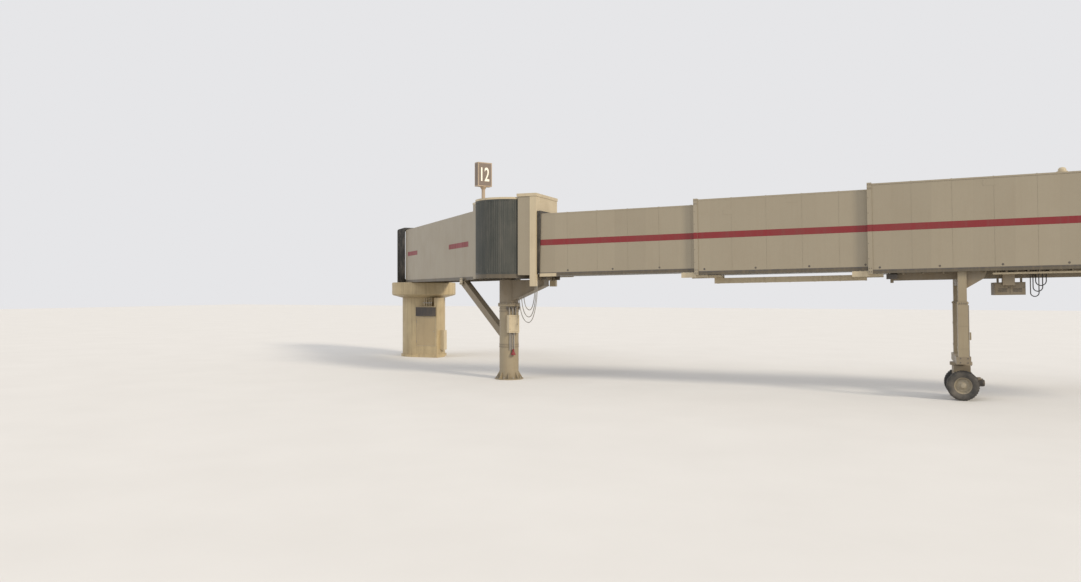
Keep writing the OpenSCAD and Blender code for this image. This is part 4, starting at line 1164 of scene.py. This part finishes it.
class RoofAndSides(JetBridgeStep):
    """Roof seams, drip edges, cab window gaskets, the lamp on the roof, and plates and lines on the walls"""

    bl_idname = "jetbridge.roof_and_sides"
    bl_label = "Roof And Sides"
    drips = {"a": 0.004, "b": 0.004, "c": 0.012}
    gasket = 0.035
    lamp = [(0.0001, 0.17), (0.05, 0.165), (0.09, 0.145), (0.115, 0.10), (0.12, 0.04), (0.16, 0.036), (0.16, 0.0)]
    # How far along the wall and below its top each cover plate starts
    plates = {"b": ((0.92, 0.36), (3.16, 0.04)), "c": ((3.37, 0.04),)}

    def build(self):
        for letter, drip in self.drips.items():
            lo, hi = local_box(f"tunnel_{letter}_roof", TUNNEL)
            bm = self.seams(lo, hi, 0.1)
            add_pair(bm, (lo.x, hi.x), hi.y, hi.y + drip, (hi.z - 0.055, hi.z - 0.002), drip / 4, 1)
            make_piece(f"roof_seams_{letter}", bm, TUNNEL, "wall_panels", f"tunnel_{letter}")
        bm = self.seams(*local_box("walkway_roof", WALKWAY))
        make_piece("roof_seams_walkway", bm, WALKWAY, "wall_panels", "fixed")
        self.gaskets()
        self.roof_lamp()
        self.hinge_sill()
        self.sill_lines()
        self.wall_plates()

    def seams(self, lo, hi, spare=0.0):
        """Raised seams across a roof, up to a short way before its far end."""
        pitch = looks().panel_pitch
        bm = bmesh.new()
        for i in range(1, int((hi.x - lo.x) / pitch) + 1):
            x = lo.x + i * pitch
            if x < hi.x - spare:
                add_box(bm, (x - 0.02, lo.y + 0.02, hi.z - 0.001), (x + 0.02, hi.y - 0.02, hi.z + 0.014), 0.004, 1)
        return bm

    def gaskets(self):
        """Rubber frames round the cab's windows."""
        lo, hi = local_box("cab_windows", TUNNEL)
        face, rim = local_box("cab_walls", TUNNEL)[1].y, self.gasket
        bm = bmesh.new()
        for x, z in (((lo.x - rim, hi.x + rim), (lo.z - rim, lo.z)), ((lo.x - rim, hi.x + rim), (hi.z, hi.z + rim)),
                     ((lo.x - rim, lo.x), (lo.z, hi.z)), ((hi.x, hi.x + rim), (lo.z, hi.z))):
            add_pair(bm, x, face - 0.004, face + 0.008, z, 0.004)
        make_piece("window_gaskets", bm, TUNNEL, "seal_rubber", "tunnel_c")

    def roof_lamp(self):
        hi = local_box("tunnel_c_roof", TUNNEL)[1]
        bm = bmesh.new()
        add_turned(bm, self.lamp, Vector((hi.x - 3.41, -1.06, hi.z)), "Z", 32)
        make_piece("roof_lamp", bm, TUNNEL, "trim_paint", "tunnel_c", outward=True)

    def hinge_sill(self):
        """Pale plates on the sills of the inner tunnel, beside the hinge."""
        lo, hi = local_box("tunnel_a_walls", TUNNEL)
        bm = bmesh.new()
        add_pair(bm, (lo.x + 0.03, lo.x + 0.74), hi.y - 0.001, hi.y + 0.012, (lo.z - 0.16, lo.z - 0.03), 0.003)
        make_piece("hinge_sills", bm, TUNNEL, "trim_paint", "tunnel_a")

    def sill_lines(self):
        """Dark strips between the walls and the sills of the tunnels."""
        for letter in "abc":
            lo, hi = local_box(f"tunnel_{letter}_walls", TUNNEL)
            x, z = (lo.x + 0.002, hi.x - 0.002), (lo.z - 0.045, lo.z - 0.001)
            bm = bmesh.new()
            add_pair(bm, x, hi.y - 0.001, hi.y + 0.003, z, 0.001, 1)
            make_piece(f"sill_lines_{letter}", bm, TUNNEL, "dark_steel", f"tunnel_{letter}")

    def wall_plates(self):
        """Small screwed cover plates high on the walls of the middle and outer tunnel."""
        for letter, places in self.plates.items():
            lo, hi = local_box(f"tunnel_{letter}_walls", TUNNEL)
            bm = bmesh.new()
            for along, below in places:
                x, z = lo.x + along, hi.z - below
                add_pair(bm, (x, x + 0.38), hi.y - 0.001, hi.y + 0.003, (z - 0.20, z), 0.0015, 1)
                add_bolts(bm, (x + 0.03, x + 0.35), hi.y + 0.003, (z - 0.03, z - 0.17), 0.008, 0.003)
            make_piece(f"wall_plates_{letter}", bm, TUNNEL, "wall_panels", f"tunnel_{letter}")


class CabFittings(JetBridgeStep):
    """Handrails, a control desk, edge trims with bolts, and lamps of the cab"""

    bl_idname = "jetbridge.cab_fittings"
    bl_label = "Cab Fittings"
    wall = 0.06
    rail_height = 0.92
    trim = 0.018

    def build(self):
        lo, hi = local_box("cab_walls", TUNNEL)
        window = local_box("cab_windows", TUNNEL)[0].x
        inner = hi.y - self.wall
        rails = []
        for side in (-1, 1):
            wall, free = side * (inner - 0.004), side * (inner - 0.07)
            rails.append([(x, y, lo.z + self.rail_height) for x, y in (
                (lo.x + 0.05, wall), (lo.x + 0.07, free), (window, free), (hi.x - 0.30, free), (hi.x - 0.28, wall),
            )])
        make_cable("cab_handrails", rails, 0.019, TUNNEL, "bare_metal", "tunnel_c", 6)
        self.desk(Vector((window + 0.1, 0.10 - inner, lo.z)))
        self.trims(lo, hi)
        lamp = bmesh.new()
        for side in (-1, 1):
            spot = Vector((hi.x - 0.5, side * 0.9, local_box("cab_roof", TUNNEL)[0].z))
            add_rod(lamp, spot + 0.004 * UP, spot - 0.04 * UP, 0.11, 32, 0.095)
        make_piece("cab_lamps", lamp, TUNNEL, "pale_digits", "tunnel_c")

    def desk(self, at):
        """A desk beside the first window, with buttons and a stick."""
        desk, knobs = bmesh.new(), bmesh.new()
        add_box(desk, at, at + Vector((0.62, 0.34, 0.86)), 0.012)
        add_box(desk, at + Vector((-0.02, -0.02, 0.85)), at + Vector((0.64, 0.38, 0.90)), 0.012)
        for i in range(6):
            spot = at + Vector((0.08 + 0.09 * i, 0.10 + 0.09 * (i % 2), 0.899))
            add_rod(knobs, spot, spot + 0.022 * UP, 0.018, 20)
        stick = at + Vector((0.52, 0.24, 0.0))
        add_rod(knobs, stick + 0.899 * UP, stick + 0.99 * UP, 0.011, 16, 0.008)
        bmesh.ops.create_uvsphere(knobs, u_segments=20, v_segments=12, radius=0.022,
                                  matrix=Matrix.Translation(stick + UP))
        make_piece("control_desk", desk, TUNNEL, "trim_paint", "tunnel_c")
        make_piece("desk_knobs", knobs, TUNNEL, "dark_steel", "tunnel_c")

    def trims(self, lo, hi):
        """Flat trims round both walls of the cab, with bolts up their ends."""
        near, far = hi.y - 0.001, hi.y + self.trim
        edges, bolts = bmesh.new(), bmesh.new()
        for z in ((hi.z - 0.06, hi.z - 0.005), (lo.z + 0.005, lo.z + 0.07)):
            add_pair(edges, (lo.x + 0.005, hi.x - 0.005), near, far, z, 0.004)
        for x in (lo.x + 0.005, hi.x - 0.075):
            add_pair(edges, (x, x + 0.07), near, far, (lo.z + 0.07, hi.z - 0.06), 0.004)
        heights = [lo.z + 0.2 + i * (hi.z - lo.z - 0.4) / 8 for i in range(9)]
        add_bolts(bolts, (lo.x + 0.04, hi.x - 0.04), far, heights, 0.009, 0.008)
        make_piece("cab_trims", edges, TUNNEL, "wall_panels", "tunnel_c")
        make_piece("cab_bolts", bolts, TUNNEL, "dark_steel", "tunnel_c")


class Stage(JetBridgeStep):
    """Pale floor, soft studio light and the camera"""

    bl_idname = "jetbridge.stage"
    bl_label = "Stage"
    camera_place = (14.57, -32.06, 3.67)
    camera_turn = math.radians(22.3)
    lens = 28.0
    # Name, direction, strength, colour and size in degrees of each sun
    suns = (
        ("key", (math.radians(62), 0.0, math.radians(68)), 2.4, (1.0, 0.90, 0.74), 12.0),
        ("fill", (math.radians(50), 0.0, math.radians(-35)), 0.7, (0.9, 0.94, 1.0), 40.0),
    )

    def build(self):
        bm = bmesh.new()
        bmesh.ops.create_grid(bm, x_segments=1, y_segments=1, size=150.0)
        mesh = bpy.data.meshes.new("floor")
        bm.to_mesh(mesh)
        bm.free()
        floor = add_object("floor", mesh)
        material, tree, shader, coords = new_material("floor_pale")
        tone = mix_color(tree, noise(tree, coords, 0.35, 4.0), (0.62, 0.60, 0.57), (0.68, 0.66, 0.63))
        tree.links.new(tone, shader.inputs["Base Color"])
        shader.inputs["Roughness"].default_value = 0.85
        mesh.materials.append(material)
        scene = bpy.context.scene
        scene.world = world = bpy.data.worlds.new("studio")
        world.use_nodes = True
        back = world.node_tree.nodes["Background"]
        back.inputs["Color"].default_value = (0.93, 0.93, 0.95, 1.0)
        back.inputs["Strength"].default_value = 0.85
        for name, turn, energy, color, size in self.suns:
            sun = bpy.data.lights.new(name, "SUN")
            sun.energy = energy
            sun.color = color
            sun.angle = math.radians(size)
            add_object(name, sun).rotation_euler = turn
        camera = bpy.data.cameras.new("camera")
        camera.lens = self.lens
        camera.sensor_width = 36.0
        camera.clip_end = 500.0
        scene.camera = add_object("camera", camera)
        scene.camera.location = self.camera_place
        scene.camera.rotation_euler = (math.radians(90), 0.0, self.camera_turn)
        scene.view_settings.view_transform = "Standard"


class JetBridgePanel(bpy.types.Panel):
    """Lists the steps in the sidebar"""

    bl_label = "Jet Bridge"
    bl_idname = "VIEW3D_PT_jet_bridge"
    bl_space_type = "VIEW_3D"
    bl_region_type = "UI"
    bl_category = "Jet Bridge"

    def draw(self, context):
        for step in STEPS:
            self.layout.operator(step.bl_idname)


STEPS = (
    PaintStructure, HangingCables, Stripes, Curtains, Bellows, CabFront, Wheels, LiftFittings, EquipmentDoors,
    Fasteners, GateSign, ColumnFittings, WalkwayFittings, PierFittings, Underside, RoofAndSides, CabFittings, Stage,
)
CLASSES = (JetBridgeLooks, *STEPS, JetBridgePanel)


def register():
    for cls in CLASSES:
        bpy.utils.register_class(cls)
    bpy.types.Scene.jet_bridge_looks = PointerProperty(type=JetBridgeLooks)


def unregister():
    del bpy.types.Scene.jet_bridge_looks
    for cls in reversed(CLASSES):
        bpy.utils.unregister_class(cls)


def main():
    register()
    for step in STEPS:
        getattr(bpy.ops.jetbridge, step.bl_idname.split(".")[1])()


if __name__ == "__main__":
    main()
